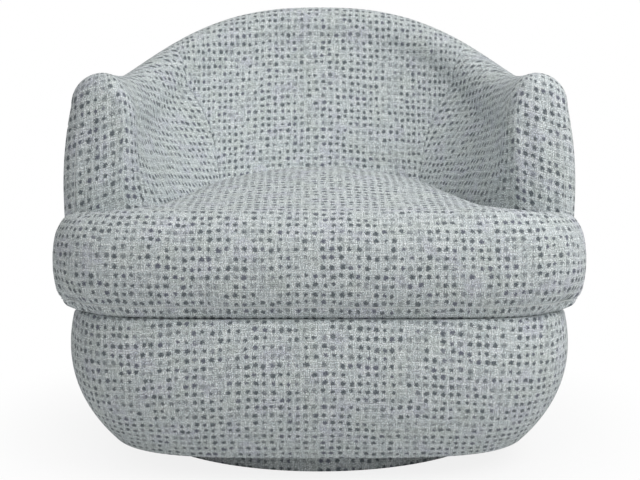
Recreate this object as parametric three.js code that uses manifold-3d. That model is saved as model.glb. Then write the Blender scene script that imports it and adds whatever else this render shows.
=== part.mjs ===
// Swivel rocker: a round-backed tub chair that turns and rocks on a low round plinth.
// Millimetres, +Z up. The chair faces -Y and the origin is on the floor, on the swivel axis.

import * as THREE from 'three';
import { mergeVertices } from 'three/addons/utils/BufferGeometryUtils.js';
import Module from 'manifold-3d';

const wasm = await Module();
wasm.setup();

// Overall sizes
const chair_depth = 890; // front of the cushion to the rear of the back
const back_height = 779; // top of the back
const arm_height = 640; // top of the arms
const belly_half_width = 425; // half the width of the tub at its fullest
const widest_y = -100; // the line across the chair where every outline is widest
const crease_height = 262; // where the tub and the cushion stand on the body
const seat_line_height = 420; // where the cushion's top meets the inside of the tub
const rest_gap = 0.3; // between two pieces that touch
const facet_gap = 0.3; // more of it where curves of different facets meet
const cut_overrun = 2; // how far a cutter passes a face

// Tub: crest, inside and outside
const crest_side_inset = 65; // the crest line lies this far inside the fullest width
const crest_rear_inset = 75; // and this far inside the rear
const crest_half_width = belly_half_width - crest_side_inset;
const crest_arm_taper = 22; // the arms lean in by this much at their fronts
const crest_rear_y = chair_depth / 2 - crest_rear_inset;
const crest_power = 2.5;
const roll_radius = 52; // half the thickness of the rounded top
const rise_start_y = 42; // the crest starts to climb here
const rise_power = 1.52;
const arm_wall = 85; // from the crest line to the inside of an arm at the seat
const back_wall = 220; // and to the inside of the back, which leans that far
const inside_half_width = crest_half_width - arm_wall;
const inside_arm_flare = 30; // the seat is this much wider each side at its front
const inside_rear_y = crest_rear_y - back_wall;
const inside_power = 2;
const recline_power = 1.3;
const belly_arm_taper = 18;
const belly_height = 450;
const belly_power = 2.4;
const ear_depth = 145; // of the cushion in front of the arms
const arm_front_y = -chair_depth / 2 + ear_depth;
const arm_front_depth = 46;
const arm_front_round = 34;
const seam_angle = THREE.MathUtils.degToRad(48); // seam of the inside back and an inside arm

// Tub: padding and panels
const pad_thickness = 40;
const roll_cover = 45; // padding over the top rail
const roll_flap = 34; // how far the roll hangs down the outside, below its middle
const panel_thickness = 12;
const slot_clearance = 3; // around the frame inside the walls
const webbing_thickness = 3;

// Body band: the bowl below the cushion
const rim_height = 34;
const rim_side_inset = 80; // the rim lies this far inside the fullest width
const rim_front_inset = 84; // the front of the cushion
const rim_rear_inset = 75; // and the rear of the back
const rim_half_width = belly_half_width - rim_side_inset;
const rim_front_y = -chair_depth / 2 + rim_front_inset;
const rim_rear_y = chair_depth / 2 - rim_rear_inset;
const rim_power = 3.7;
const body_side_flare = 62; // how far the bowl swells past its rim at each side
const body_end_flare = 68; // and at the front and the rear
const body_widest_height = 205;
const body_top_power = 5;
const body_rear_power = 2.4;
const body_skin = 14;
const body_flange = 19; // width of the ledge turned in at the top
const body_round = 7; // radius of the rim and of the top edge

// Cushion
const ear_overhang = 8; // the ears pass the fullest width by this much
const cushion_half_width = belly_half_width + ear_overhang;
const cushion_front_power = 5.5;
const cushion_corner = 44; // plan radius behind each ear
const cushion_fillet = 26; // plan radius between an ear and the neck
const cushion_clearance = 3; // to the padding beside it
const cushion_widest_height = 347;
const cushion_edge_height = 428; // where the rounded edge meets the crowned top
const cushion_crown_height = 482;
const crown_inset = 10; // the crown is this far behind the widest line
const cushion_crown_y = widest_y + crown_inset;
const cushion_crown_power = 1.5;
const cushion_front_round = 60;
const cushion_inner_round = 30;
const cushion_lower_power = 2.2;
const cushion_upper_power = 2.6;

// Wooden frame
const rail_thickness = 25;
const rail_bottom = 150;
const rail_top = 244;
const post_thickness = 24;
const post_width = 60;
const post_lap = 6; // the posts' inner faces lie this far inside the crest line
const top_rail_height = 40;
const front_rail_inset = 80;
const front_rail_y = -chair_depth / 2 + front_rail_inset; // outer face of the front rail
const front_post_inset = 64;
const front_post_y = arm_front_y + front_post_inset; // front edge of the arm posts
const side_rail_end_angle = THREE.MathUtils.degToRad(12);
const back_post_angle = THREE.MathUtils.degToRad(68);
const wing_post_angle = THREE.MathUtils.degToRad(24);
const corner_block_leg = 70;
const corner_block_margin = 8;
const cross_rail_width = 62;
const cross_rail_thickness = 28;
const cross_rail_y = 92;

// Seat: springs, deck and dust cover
const seat_wire_radius = 2;
const seat_wire_drop = 5; // below the tops of the rails
const seat_wire_count = 5;
const seat_wire_margin = 120; // from a side rail to the middle of the nearest spring
const seat_wire_swing = 22;
const seat_wire_waves = 5;
const seat_wire_lead = 5; // straight length at each end
const deck_thickness = crease_height - rail_top - rest_gap;
const deck_step_inset = 10;
const deck_step_y = front_post_y - deck_step_inset; // the deck widens in front of the posts
const dust_cover_thickness = 1.5;
const dust_cover_hole = 300;

// Plinth
const plinth_inset = 22; // inside the nearest part of the rim
const plinth_radius = Math.min(rim_half_width, -rim_front_y, rim_rear_y) - plinth_inset;
const plinth_fabric = 2.4;
const plinth_wall = 18;
const plinth_ring_height = 60;
const plinth_board_thickness = 15;
const glide_radius = 8;
const glide_height = 1.5;

// Swivel bearing
const race_radius = 125;
const race_thickness = 2.5;
const race_track_radius = 100;
const race_track_width = 16;
const race_track_rise = 2;
const ball_radius = 4;
const ball_count = 12;
const cage_thickness = 2;
const cage_width = 14;
const king_radius = 8;
const king_head_radius = 16;
const king_head_height = 6;
const king_clearance = 0.3;

// Rocker mechanism
const pivot_height = 140;
const pivot_radius = 6;
const pivot_clearance = 0.3;
const pivot_boss = 16; // radius of the round end of each ear
const pivot_head_radius = 11;
const pivot_head_height = 6;
const washer_thickness = 2;
const rock_angle = THREE.MathUtils.degToRad(4.5);
const cradle_half_width = 100; // outside of the cradle's ears
const cradle_length = 270;
const cradle_foot = 90; // length of an ear where it leaves the plate
const plate_thickness = 4;
const plate_bottom = 163; // underside of the top plate
const plate_overhang = 20; // past the ears on each side
const spring_x = 58;
const spring_y = 96;
const spring_radius = 19; // to the middle of the wire
const spring_wire_radius = 2.4;
const spring_turns = 5;
const spring_boss_radius = 15;
const spring_boss_height = 7;
const bumper_radius = 12;
const bumper_y = 122;
const bumper_clearance = 0.4; // left above a bumper at the end of the rock

// How finely each kind of shape is divided
const curve_steps = 8;
const hidden_steps = 4;
const slot_steps = 6;
const roll_steps = 8;
const arm_steps = 5;
const corner_steps = 8;
const back_steps = 16;
const body_steps = 26;
const round_steps = 3;
const plinth_segments = 48;
const small_segments = 14;
const race_segments = 24;
const cushion_points = 60;
const cushion_edge_steps = 4;
const cushion_inner_steps = 5;
const ball_segments = 6;
const ball_rings = 4;
const spring_steps = 8;
const spring_sides = 5;
const wave_steps = 6;

// Heights that follow from the sizes above
const plinth_ring_bottom = glide_height + rest_gap;
const plinth_board_bottom = plinth_ring_bottom + plinth_ring_height + rest_gap;
const plinth_top = plinth_board_bottom + plinth_board_thickness;
const lower_race_bottom = plinth_top + rest_gap;
const lower_track_top = lower_race_bottom + race_thickness + race_track_rise;
const ball_height = lower_track_top + rest_gap + ball_radius;
const upper_track_bottom = ball_height + ball_radius + rest_gap;
const upper_race_bottom = upper_track_bottom + race_track_rise;
const upper_race_top = upper_race_bottom + race_thickness;
const cradle_bottom = upper_race_top + rest_gap;
const cradle_floor = cradle_bottom + plate_thickness;
const plate_top = plate_bottom + plate_thickness;
const cross_rail_bottom = plate_top + rest_gap;

// Finishes
function finish(colour, roughness, metalness) {
  return new THREE.MeshStandardMaterial({ color: colour, roughness, metalness });
}

const cover_finish = () => finish('#b4bfc3', 0.95, 0);
const wood_finish = () => finish('#c9a776', 0.7, 0);
const steel_finish = () => finish('#8d9196', 0.4, 0.9);
const dark_steel_finish = () => finish('#3c3f42', 0.45, 0.8);
const jute_finish = () => finish('#a8946b', 0.95, 0);
const cambric_finish = () => finish('#232426', 0.95, 0);
const nylon_finish = () => finish('#2b2b2b', 0.5, 0);
const rubber_finish = () => finish('#1d1d1e', 0.85, 0);

const chair = new THREE.Group();

function add_piece(name, geometry, material) {
  const piece = new THREE.Mesh(geometry, material);
  piece.name = name;
  chair.add(piece);
  return piece;
}

function mix(from, to, share) {
  return from + (to - from) * share;
}

function clamp_share(value) {
  return Math.min(1, Math.max(0, value));
}

function spaced(from, to, steps) {
  return Array.from({ length: steps + 1 }, (_, step) => mix(from, to, step / steps));
}

// A closed body through a row of sections that all have the same number of points.
// across is the level direction in a section's plane, which its end cap needs.
function loft(sections) {
  const count = sections[0].points.length;
  const positions = [];
  sections.forEach(({ points }) => points.forEach((point) => positions.push(...point.toArray())));
  const faces = [];
  const last = sections.length - 1;
  for (let row = 0; row < last; row += 1) {
    for (let step = 0; step < count; step += 1) {
      const next_step = (step + 1) % count;
      const corner = row * count + step;
      const beside = row * count + next_step;
      const above = corner + count;
      const far = beside + count;
      faces.push(corner, beside, far, corner, far, above);
    }
  }
  cap_faces(sections[0], 0, false).forEach((index) => faces.push(index));
  cap_faces(sections[last], last * count, true).forEach((index) => faces.push(index));
  return closed_geometry(positions, faces);
}

function cap_faces({ points, across }, first, is_far_end) {
  const flat = points.map((point) => new THREE.Vector2(point.dot(across), point.z));
  const is_reversed = THREE.ShapeUtils.isClockWise(flat);
  const corners = flat.map((_, index) => index);
  const ordered = is_reversed ? [...corners].reverse() : corners;
  const triangles = THREE.ShapeUtils.triangulateShape(ordered.map((index) => flat[index]), []);
  const is_flipped = is_reversed !== is_far_end;
  return triangles.flatMap(([a, b, c]) => {
    const turned = is_flipped ? [a, b, c] : [a, c, b];
    return turned.map((index) => first + ordered[index]);
  });
}

// Indexed triangles as a geometry whose faces point out, whichever way they were listed.
function closed_geometry(positions, faces) {
  const geometry = new THREE.BufferGeometry();
  geometry.setAttribute('position', new THREE.Float32BufferAttribute(positions, 3));
  const order = signed_volume(positions, faces) < 0 ? [...faces].reverse() : faces;
  geometry.setIndex(order);
  geometry.computeVertexNormals();
  return geometry;
}

function signed_volume(positions, faces) {
  const corner = (index) => new THREE.Vector3().fromArray(positions, index * 3);
  let sum = 0;
  for (let first = 0; first < faces.length; first += 3) {
    const side = corner(faces[first + 1]).cross(corner(faces[first + 2]));
    sum += corner(faces[first]).dot(side);
  }
  return sum;
}

function to_solid(geometry) {
  const bare = geometry.clone();
  bare.deleteAttribute('normal');
  bare.deleteAttribute('uv');
  const merged = mergeVertices(bare);
  const vertProperties = new Float32Array(merged.attributes.position.array);
  const triVerts = new Uint32Array(merged.index.array);
  return new wasm.Manifold(new wasm.Mesh({ numProp: 3, vertProperties, triVerts }));
}

function to_geometry(solid) {
  const { vertProperties, triVerts } = solid.getMesh();
  const geometry = new THREE.BufferGeometry();
  geometry.setAttribute('position', new THREE.Float32BufferAttribute(vertProperties, 3));
  geometry.setIndex(Array.from(triVerts));
  geometry.computeVertexNormals();
  return geometry;
}

function joined(geometries) {
  return to_geometry(geometries.map(to_solid).reduce((sum, solid) => sum.add(solid)));
}

function cut(geometry, cutters) {
  const start = to_solid(geometry);
  return to_geometry(cutters.map(to_solid).reduce((left, cutter) => left.subtract(cutter), start));
}

function block(low, high) {
  const size = high.map((value, axis) => value - low[axis]);
  const middle = high.map((value, axis) => (value + low[axis]) / 2);
  return new THREE.BoxGeometry(...size).translate(...middle);
}

function upright_cylinder(radius, bottom, top, segments = small_segments) {
  const height = top - bottom;
  return new THREE.CylinderGeometry(radius, radius, height, segments)
    .rotateX(Math.PI / 2)
    .translate(0, 0, bottom + height / 2);
}

function cross_cylinder(radius, from_x, to_x) {
  const length = to_x - from_x;
  return new THREE.CylinderGeometry(radius, radius, length, small_segments)
    .rotateZ(Math.PI / 2)
    .translate(from_x + length / 2, 0, pivot_height);
}

// A turned piece: its outline is given as [radius, height] pairs and stands upright.
function turned(outline, segments) {
  const points = outline.map(([radius, height]) => new THREE.Vector2(radius, height));
  const geometry = new THREE.LatheGeometry([...points, points[0]], segments).rotateX(Math.PI / 2);
  geometry.deleteAttribute('normal');
  geometry.deleteAttribute('uv');
  const merged = mergeVertices(geometry);
  return closed_geometry(Array.from(merged.attributes.position.array), Array.from(merged.index.array));
}

// Outlines in plan are superellipses round the widest line, with one power for the front half
// and one for the rear half. reach is the distance to the outline in a given direction.
function reach(outline, angle) {
  const is_rear = Math.sin(angle) >= 0;
  const length = is_rear ? outline.rear : outline.front;
  const power = is_rear ? outline.rear_power : outline.front_power;
  const across_share = (Math.abs(Math.cos(angle)) / outline.half) ** power;
  const along_share = (Math.abs(Math.sin(angle)) / length) ** power;
  return (across_share + along_share) ** (-1 / power);
}

function half_width_at(outline, y) {
  const along_share = (Math.abs(y - widest_y) / outline.front) ** outline.front_power;
  return outline.half * (1 - along_share) ** (1 / outline.front_power);
}

// The bowl's outline at a height: it swells as a parabola from the rim to its widest height.
function body_outline(height) {
  const fall = (body_widest_height - height) / (body_widest_height - rim_height);
  const swell_share = 1 - fall ** 2;
  const end_swell = body_end_flare * swell_share;
  return {
    half: rim_half_width + body_side_flare * swell_share,
    front: widest_y - rim_front_y + end_swell,
    rear: rim_rear_y - widest_y + end_swell,
    front_power: mix(rim_power, body_top_power, swell_share),
    rear_power: body_rear_power,
  };
}

const crease_outline = body_outline(crease_height);
const crest_outline = { half: crest_half_width, rear: crest_rear_y - widest_y, rear_power: crest_power };
const inside_outline = { half: inside_half_width, rear: inside_rear_y - widest_y, rear_power: inside_power };
const belly_outline = { half: belly_half_width, rear: chair_depth / 2 - widest_y, rear_power: belly_power };

function crest_height_at(y) {
  const climb = clamp_share((y - rise_start_y) / (crest_rear_y - rise_start_y));
  return mix(arm_height, back_height, climb ** rise_power);
}

// A station is an upright plane across the wall of the tub, with the wall's sizes in it.
// Round the back the planes turn about the middle of the widest line.
function rear_station(side, angle) {
  const crest = reach(crest_outline, angle);
  return {
    origin: new THREE.Vector3(0, widest_y, 0),
    across: new THREE.Vector3(side * Math.cos(angle), Math.sin(angle), 0),
    crest,
    inside: reach(inside_outline, angle),
    belly: reach(belly_outline, angle),
    crease: reach(crease_outline, angle),
    height: crest_height_at(widest_y + crest * Math.sin(angle)),
  };
}

// Along the arms the planes stand straight across the chair.
function arm_station(side, y) {
  const forward_share = ((widest_y - y) / (widest_y - arm_front_y)) ** 2;
  return {
    origin: new THREE.Vector3(0, y, 0),
    across: new THREE.Vector3(side, 0, 0),
    crest: crest_half_width - crest_arm_taper * forward_share,
    inside: inside_half_width + inside_arm_flare * forward_share,
    belly: belly_half_width - belly_arm_taper * forward_share,
    crease: half_width_at(crease_outline, y),
    height: arm_height,
  };
}

function arm_walk(side, from_y, to_angle) {
  const straight = spaced(from_y, widest_y, arm_steps).slice(0, -1);
  const bend = spaced(0, to_angle, corner_steps);
  return [...straight.map((y) => arm_station(side, y)), ...bend.map((angle) => rear_station(side, angle))];
}

function rear_walk(from_angle, to_angle, steps) {
  return spaced(from_angle, to_angle, steps).map((angle) => rear_station(1, angle));
}

function place(station, outline) {
  const points = outline.map(([distance, height]) => {
    const point = station.origin.clone().addScaledVector(station.across, distance);
    return point.setZ(height);
  });
  return { points, across: station.across };
}

function inside_face(station, height) {
  const top = station.height - roll_radius;
  const near = station.crest - roll_radius;
  const fall = clamp_share((top - height) / (top - seat_line_height));
  return mix(near, station.inside, fall ** recline_power);
}

function outside_face(station, height) {
  const top = station.height - roll_radius;
  if (height > belly_height) {
    const climb = (height - belly_height) / (top - belly_height);
    return mix(station.belly, station.crest + roll_radius, climb ** 2);
  }
  const fall = (belly_height - height) / (belly_height - crease_height);
  return mix(station.belly, station.crease, fall ** 2);
}

const tub_foot = crease_height + rest_gap;
const slot_outer = post_thickness - post_lap + slot_clearance;

function roll_arc(station) {
  const top = station.height - roll_radius;
  return spaced(Math.PI, 0, roll_steps).map((angle) => {
    return [station.crest + roll_radius * Math.cos(angle), top + roll_radius * Math.sin(angle)];
  });
}

function inside_rise(station) {
  const top = station.height - roll_radius;
  const heights = [tub_foot, ...spaced(seat_line_height, top, curve_steps).slice(0, -1)];
  return heights.map((height) => [inside_face(station, height), height]);
}

// Heights down the slot's inner face, from its top to the foot of the wall.
function slot_heights(station) {
  return [...spaced(station.height - roll_cover, seat_line_height, slot_steps), tub_foot];
}

// The padding of a wall: up the inside, over the top roll and down to its flap,
// with a slot for the frame that is open below.
function pad_section(station) {
  const flap_foot = station.height - roll_radius - roll_flap;
  const flap_inner = station.crest + slot_outer;
  const slot_face = slot_heights(station).map((height) => {
    return [inside_face(station, height) + pad_thickness, height];
  });
  const flap = [
    [outside_face(station, flap_foot), flap_foot],
    [flap_inner, flap_foot],
    [flap_inner, station.height - roll_cover],
  ];
  return place(station, [...inside_rise(station), ...roll_arc(station), ...flap, ...slot_face]);
}

// The outside panel of a wall, from the flap down to the body.
function panel_section(station) {
  const top = station.height - roll_radius - roll_flap - rest_gap;
  const heights = spaced(tub_foot, top, curve_steps);
  const outer = heights.map((height) => [outside_face(station, height), height]);
  const inner = spaced(top, tub_foot, hidden_steps).map((height) => {
    return [outside_face(station, height) - panel_thickness, height];
  });
  return place(station, [...outer, ...inner]);
}

// Jute webbing that backs the padding of the inside back, on the same facets as its slot.
function webbing_section(station) {
  const near = (height) => inside_face(station, height) + pad_thickness + rest_gap + facet_gap;
  const front = slot_heights(station).slice(1).map((height) => [near(height), height]);
  const rear = [...front].reverse().map(([distance, height]) => [distance + webbing_thickness, height]);
  return place(station, [...front, ...rear]);
}

// The closed end of an arm: its whole outline, drawn in as it rounds over to the front.
function arm_front_sections(side) {
  const back_y = arm_front_y + arm_front_depth;
  const round_start_y = arm_front_y + arm_front_round;
  const turns = spaced(0, Math.PI / 2, round_steps);
  const rows = turns.map((turn) => ({
    y: round_start_y - arm_front_round * Math.sin(turn),
    inset: arm_front_round * (1 - Math.cos(turn)),
  }));
  return [{ y: back_y, inset: 0 }, ...rows].map(({ y, inset }) => {
    const station = arm_station(side, Math.max(y, arm_front_y));
    const top = station.height - roll_radius;
    const falling = spaced(top, crease_height + rest_gap, curve_steps).slice(1);
    const outer = falling.map((height) => [outside_face(station, height), height]);
    const outline = [...inside_rise(station), ...roll_arc(station), ...outer];
    return place(station, drawn_in(outline, inset));
  });
}

// Moves each point of an outline inwards by a distance, square to its neighbours.
// The foot stays where it is, so the arm keeps standing on the body.
function drawn_in(outline, inset) {
  const middle = (outline[0][0] + outline[outline.length - 1][0]) / 2;
  return outline.map(([distance, height], index) => {
    const before = outline[(index + outline.length - 1) % outline.length];
    const after = outline[(index + 1) % outline.length];
    const along = new THREE.Vector2(after[0] - before[0], after[1] - before[1]).normalize();
    if (index === 0 || index === outline.length - 1) {
      return [distance + Math.sign(middle - distance) * inset, height];
    }
    return [distance + along.y * inset, height - along.x * inset];
  });
}

function make_tub() {
  const pad_front_y = arm_front_y + arm_front_depth + rest_gap;
  const seam_gap_angle = rest_gap / crest_half_width;
  const side_end = seam_angle - seam_gap_angle;
  const back_walk = rear_walk(seam_angle, Math.PI - seam_angle, back_steps);
  [['right', 1], ['left', -1]].forEach(([name, side]) => {
    const walk = arm_walk(side, pad_front_y, side_end);
    add_piece(`inside_arm_${name}`, loft(walk.map(pad_section)), cover_finish());
    add_piece(`outside_arm_${name}`, loft(walk.map(panel_section)), cover_finish());
    add_piece(`arm_front_${name}`, loft(arm_front_sections(side)), cover_finish());
  });
  add_piece('inside_back', loft(back_walk.map(pad_section)), cover_finish());
  add_piece('outside_back', loft(back_walk.map(panel_section)), cover_finish());
  add_piece('back_webbing', loft(back_walk.map(webbing_section)), jute_finish());
}

// The wall of the bowl: rounded rim, outer face, top edge and ledge, then the inner face.
function body_section(angle) {
  const outer_heights = spaced(rim_height + body_round, crease_height - body_round, curve_steps);
  const inner_heights = spaced(crease_height - body_skin, rim_height, hidden_steps);
  const turns = spaced(0, Math.PI / 2, round_steps);
  const rim = turns.slice(0, -1).map((turn) => [
    rim_height + body_round * (1 - Math.cos(turn)),
    body_round * (1 - Math.sin(turn)),
  ]);
  const edge = turns.slice(1).map((turn) => [
    crease_height - body_round * (1 - Math.sin(turn)),
    body_round * (1 - Math.cos(turn)),
  ]);
  const ledge = [
    [crease_height, body_flange],
    [crease_height - body_skin, body_flange],
  ];
  const outer = outer_heights.map((height) => [height, 0]);
  const inner = inner_heights.map((height) => [height, body_skin]);
  const outline = [...rim, ...outer, ...edge, ...ledge, ...inner].map(([height, inset]) => {
    return [reach(body_outline(height), angle) - inset, height];
  });
  const across = new THREE.Vector3(Math.cos(angle), Math.sin(angle), 0);
  return place({ origin: new THREE.Vector3(0, widest_y, 0), across }, outline);
}

function make_body_band() {
  const gap_angle = rest_gap / rim_half_width;
  const rear = spaced(gap_angle, Math.PI - gap_angle, body_steps).map(body_section);
  const front = spaced(-Math.PI, 0, body_steps).map(body_section);
  add_piece('body_band_front', loft(front), cover_finish());
  add_piece('body_band_rear', loft(rear), cover_finish());
}

// The cushion's outline in plan, from the middle of its front round its right side.
// It has an ear in front of each arm and a neck that fits between the arms.
function cushion_half_outline() {
  const front_length = chair_depth / 2 + widest_y;
  const outline = { half: cushion_half_width, front: front_length, front_power: cushion_front_power };
  const ear_rear_y = arm_front_y - cushion_clearance;
  const turn_y = ear_rear_y - cushion_corner;
  const turn_x = half_width_at(outline, turn_y);
  const front = spaced(0, Math.PI / 2, corner_steps + arm_steps).map((turn) => {
    const x = turn_x * Math.sin(turn);
    const fall = (1 - (x / outline.half) ** outline.front_power) ** (1 / outline.front_power);
    return new THREE.Vector2(x, widest_y - outline.front * fall);
  });
  const neck = (y) => arm_station(1, y).inside - cushion_clearance;
  const corner = spaced(0, Math.PI / 2, round_steps).map((turn) => new THREE.Vector2(
    turn_x - cushion_corner * (1 - Math.cos(turn)),
    turn_y + cushion_corner * Math.sin(turn),
  ));
  const fillet_x = neck(ear_rear_y + cushion_fillet) + cushion_fillet;
  const fillet = spaced(0, Math.PI / 2, round_steps).map((turn) => new THREE.Vector2(
    fillet_x - cushion_fillet * Math.sin(turn),
    ear_rear_y + cushion_fillet * (1 - Math.cos(turn)),
  ));
  const side = spaced(ear_rear_y + cushion_fillet, widest_y, arm_steps).slice(1);
  const rear = spaced(0, Math.PI / 2, corner_steps + arm_steps).slice(1).map((angle) => {
    const distance = reach(inside_outline, angle) - cushion_clearance;
    return new THREE.Vector2(distance * Math.cos(angle), widest_y + distance * Math.sin(angle));
  });
  const straight = side.map((y) => new THREE.Vector2(neck(y), y));
  return [...front, ...corner.slice(1), ...fillet, ...straight, ...rear];
}

function cushion_outline() {
  const half = new THREE.SplineCurve(cushion_half_outline()).getSpacedPoints(cushion_points / 2);
  half[0].x = 0;
  half[half.length - 1].x = 0;
  const mirrored = half.slice(1, -1).reverse().map((point) => new THREE.Vector2(-point.x, point.y));
  return [...half, ...mirrored];
}

// The crowned top: highest on the middle line, falling to the edge height at the sides,
// the front and the back.
function cushion_top(x, y) {
  const front_y = -chair_depth / 2 + cushion_front_round;
  const reach_y = y < cushion_crown_y ? cushion_crown_y - front_y : inside_rear_y - cushion_crown_y;
  const along = clamp_share(Math.abs(y - cushion_crown_y) / reach_y);
  const across = clamp_share(Math.abs(x) / inside_half_width);
  const bump = ((1 - along ** 2) * (1 - across ** 2)) ** cushion_crown_power;
  return mix(cushion_edge_height, cushion_crown_height, bump);
}

// The cushion: rings that follow its outline round the edge, then shrink towards a point
// on the middle line that sees the whole outline.
function make_cushion() {
  const outline = cushion_outline();
  const bottom = crease_height + rest_gap;
  const eye = new THREE.Vector2(0, (-chair_depth / 2 + arm_front_y) / 2);
  const ear_rear_y = arm_front_y - cushion_clearance;
  const inset_at = (y) => {
    const back_share = clamp_share((y - eye.y) / (ear_rear_y - cushion_inner_round / 2 - eye.y));
    return mix(cushion_front_round, cushion_inner_round, back_share);
  };
  const inward = outline.map((point, index) => {
    const before = outline[(index + outline.length - 1) % outline.length];
    const after = outline[(index + 1) % outline.length];
    const along = after.clone().sub(before).normalize();
    return new THREE.Vector2(-along.y, along.x);
  });
  const ring = (inset_share, height_at) => outline.map((point, index) => {
    const inset = inset_at(point.y) * inset_share;
    const place_in_plan = point.clone().addScaledVector(inward[index], inset);
    return new THREE.Vector3(place_in_plan.x, place_in_plan.y, height_at(place_in_plan));
  });
  const edge_ring = (turn, power, limit_at) => {
    const rise_share = Math.sin(turn) ** (2 / power);
    const inset_share = 1 - Math.cos(turn) ** (2 / power);
    return ring(inset_share, (spot) => mix(cushion_widest_height, limit_at(spot), rise_share));
  };
  const turns = spaced(0, Math.PI / 2, cushion_edge_steps);
  const lower = [...turns].reverse().map((turn) => edge_ring(turn, cushion_lower_power, () => bottom));
  const upper = turns.slice(1).map((turn) => {
    return edge_ring(turn, cushion_upper_power, (spot) => cushion_top(spot.x, spot.y));
  });
  const shrink = (rows, share, height_at) => rows.map((point) => {
    const x = mix(eye.x, point.x, share);
    const y = mix(eye.y, point.y, share);
    return new THREE.Vector3(x, y, height_at(x, y));
  });
  const shares = spaced(1, 0, cushion_inner_steps).slice(1, -1);
  const top = shares.map((share) => shrink(upper[upper.length - 1], share, cushion_top));
  const rings = [...lower, ...upper, ...top];
  const positions = rings.flat().flatMap((point) => point.toArray());
  const faces = [];
  const count = outline.length;
  for (let row = 0; row < rings.length - 1; row += 1) {
    for (let step = 0; step < count; step += 1) {
      const corner = row * count + step;
      const beside = row * count + (step + 1) % count;
      faces.push(corner, beside, beside + count, corner, beside + count, corner + count);
    }
  }
  const bottom_eye = positions.length / 3;
  positions.push(eye.x, eye.y, bottom);
  const top_eye = bottom_eye + 1;
  positions.push(eye.x, eye.y, cushion_top(eye.x, eye.y));
  const last = (rings.length - 1) * count;
  for (let step = 0; step < count; step += 1) {
    const next_step = (step + 1) % count;
    faces.push(bottom_eye, next_step, step);
    faces.push(top_eye, last + step, last + next_step);
  }
  add_piece('seat_cushion', closed_geometry(positions, faces), cover_finish());
}

// A bent or straight wooden band that follows the crest line in plan.
// inner and outer are its faces' distances from that line, measured outwards.
function band(stations, inner, outer, low_at, high_at) {
  return loft(stations.map((station) => place(station, [
    [station.crest + inner, low_at(station)],
    [station.crest + outer, low_at(station)],
    [station.crest + outer, high_at(station)],
    [station.crest + inner, high_at(station)],
  ])));
}

const rail_outer = -post_lap - rest_gap - facet_gap;
const rail_inner = rail_outer - rail_thickness;
const post_outer = post_thickness - post_lap;
const deck_outer = rail_outer - facet_gap;

function top_rail_top(station) {
  return station.height - roll_cover - rest_gap;
}

function top_rail_bottom(station) {
  return top_rail_top(station) - top_rail_height;
}

function post_top(station) {
  return top_rail_bottom(station) - rest_gap - facet_gap;
}

function side_rail_walk(side) {
  const straight = spaced(front_rail_y + rail_thickness + rest_gap, widest_y, arm_steps).slice(0, -1);
  const bend = spaced(0, side_rail_end_angle, round_steps);
  return [...straight.map((y) => arm_station(side, y)), ...bend.map((angle) => rear_station(side, angle))];
}

function rear_rail_walk() {
  const start = side_rail_end_angle + rest_gap / crest_half_width;
  return rear_walk(start, Math.PI - start, back_steps);
}

function make_seat_rails() {
  const front_face_y = front_rail_y + rail_thickness;
  const low = () => rail_bottom;
  const high = () => rail_top;
  [['right', 1], ['left', -1]].forEach(([name, side]) => {
    const rail = band(side_rail_walk(side), rail_inner, rail_outer, low, high);
    add_piece(`seat_rail_${name}`, rail, wood_finish());
  });
  add_piece('seat_rail_rear', band(rear_rail_walk(), rail_inner, rail_outer, low, high), wood_finish());
  const half_length = arm_station(1, front_face_y).crest + rail_outer;
  const front = block([-half_length, front_rail_y, rail_bottom], [half_length, front_face_y, rail_top]);
  add_piece('seat_rail_front', front, wood_finish());
}

function make_corner_blocks() {
  const corner_y = front_rail_y + rail_thickness + rest_gap;
  const corner_x = arm_station(1, corner_y + corner_block_leg).crest + rail_inner;
  const near_x = Math.min(corner_x, arm_station(1, corner_y).crest + rail_inner) - rest_gap;
  const bottom = rail_bottom + corner_block_margin;
  const height = rail_top - rail_bottom - 2 * corner_block_margin;
  [['right', 1], ['left', -1]].forEach(([name, side]) => {
    const shape = new THREE.Shape([
      new THREE.Vector2(side * near_x, corner_y),
      new THREE.Vector2(side * near_x, corner_y + corner_block_leg),
      new THREE.Vector2(side * (near_x - corner_block_leg), corner_y),
    ]);
    const geometry = new THREE.ExtrudeGeometry(shape, { depth: height, bevelEnabled: false });
    add_piece(`corner_block_${name}`, geometry.translate(0, 0, bottom), wood_finish());
  });
}

function make_posts() {
  const low = () => rail_bottom;
  [['right', 1], ['left', -1]].forEach(([name, side]) => {
    const arm = [front_post_y, front_post_y + post_width].map((y) => arm_station(side, y));
    add_piece(`arm_post_${name}`, band(arm, -post_lap, post_outer, low, post_top), wood_finish());
    [['wing_post', wing_post_angle], ['back_post', back_post_angle]].forEach(([kind, middle]) => {
      const half_angle = post_width / 2 / reach(crest_outline, middle);
      const angles = spaced(middle - half_angle, middle + half_angle, 2);
      const walk = angles.map((angle) => rear_station(side, angle));
      add_piece(`${kind}_${name}`, band(walk, -post_lap, post_outer, low, post_top), wood_finish());
    });
  });
}

function make_top_rails() {
  const gap_angle = rest_gap / crest_half_width;
  [['right', 1], ['left', -1]].forEach(([name, side]) => {
    const walk = arm_walk(side, front_post_y, seam_angle - gap_angle);
    const rail = band(walk, -post_lap, post_outer, top_rail_bottom, top_rail_top);
    add_piece(`arm_top_rail_${name}`, rail, wood_finish());
  });
  const rear = rear_walk(seam_angle, Math.PI - seam_angle, back_steps);
  const rail = band(rear, -post_lap, post_outer, top_rail_bottom, top_rail_top);
  add_piece('back_top_rail', rail, wood_finish());
}

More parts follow.
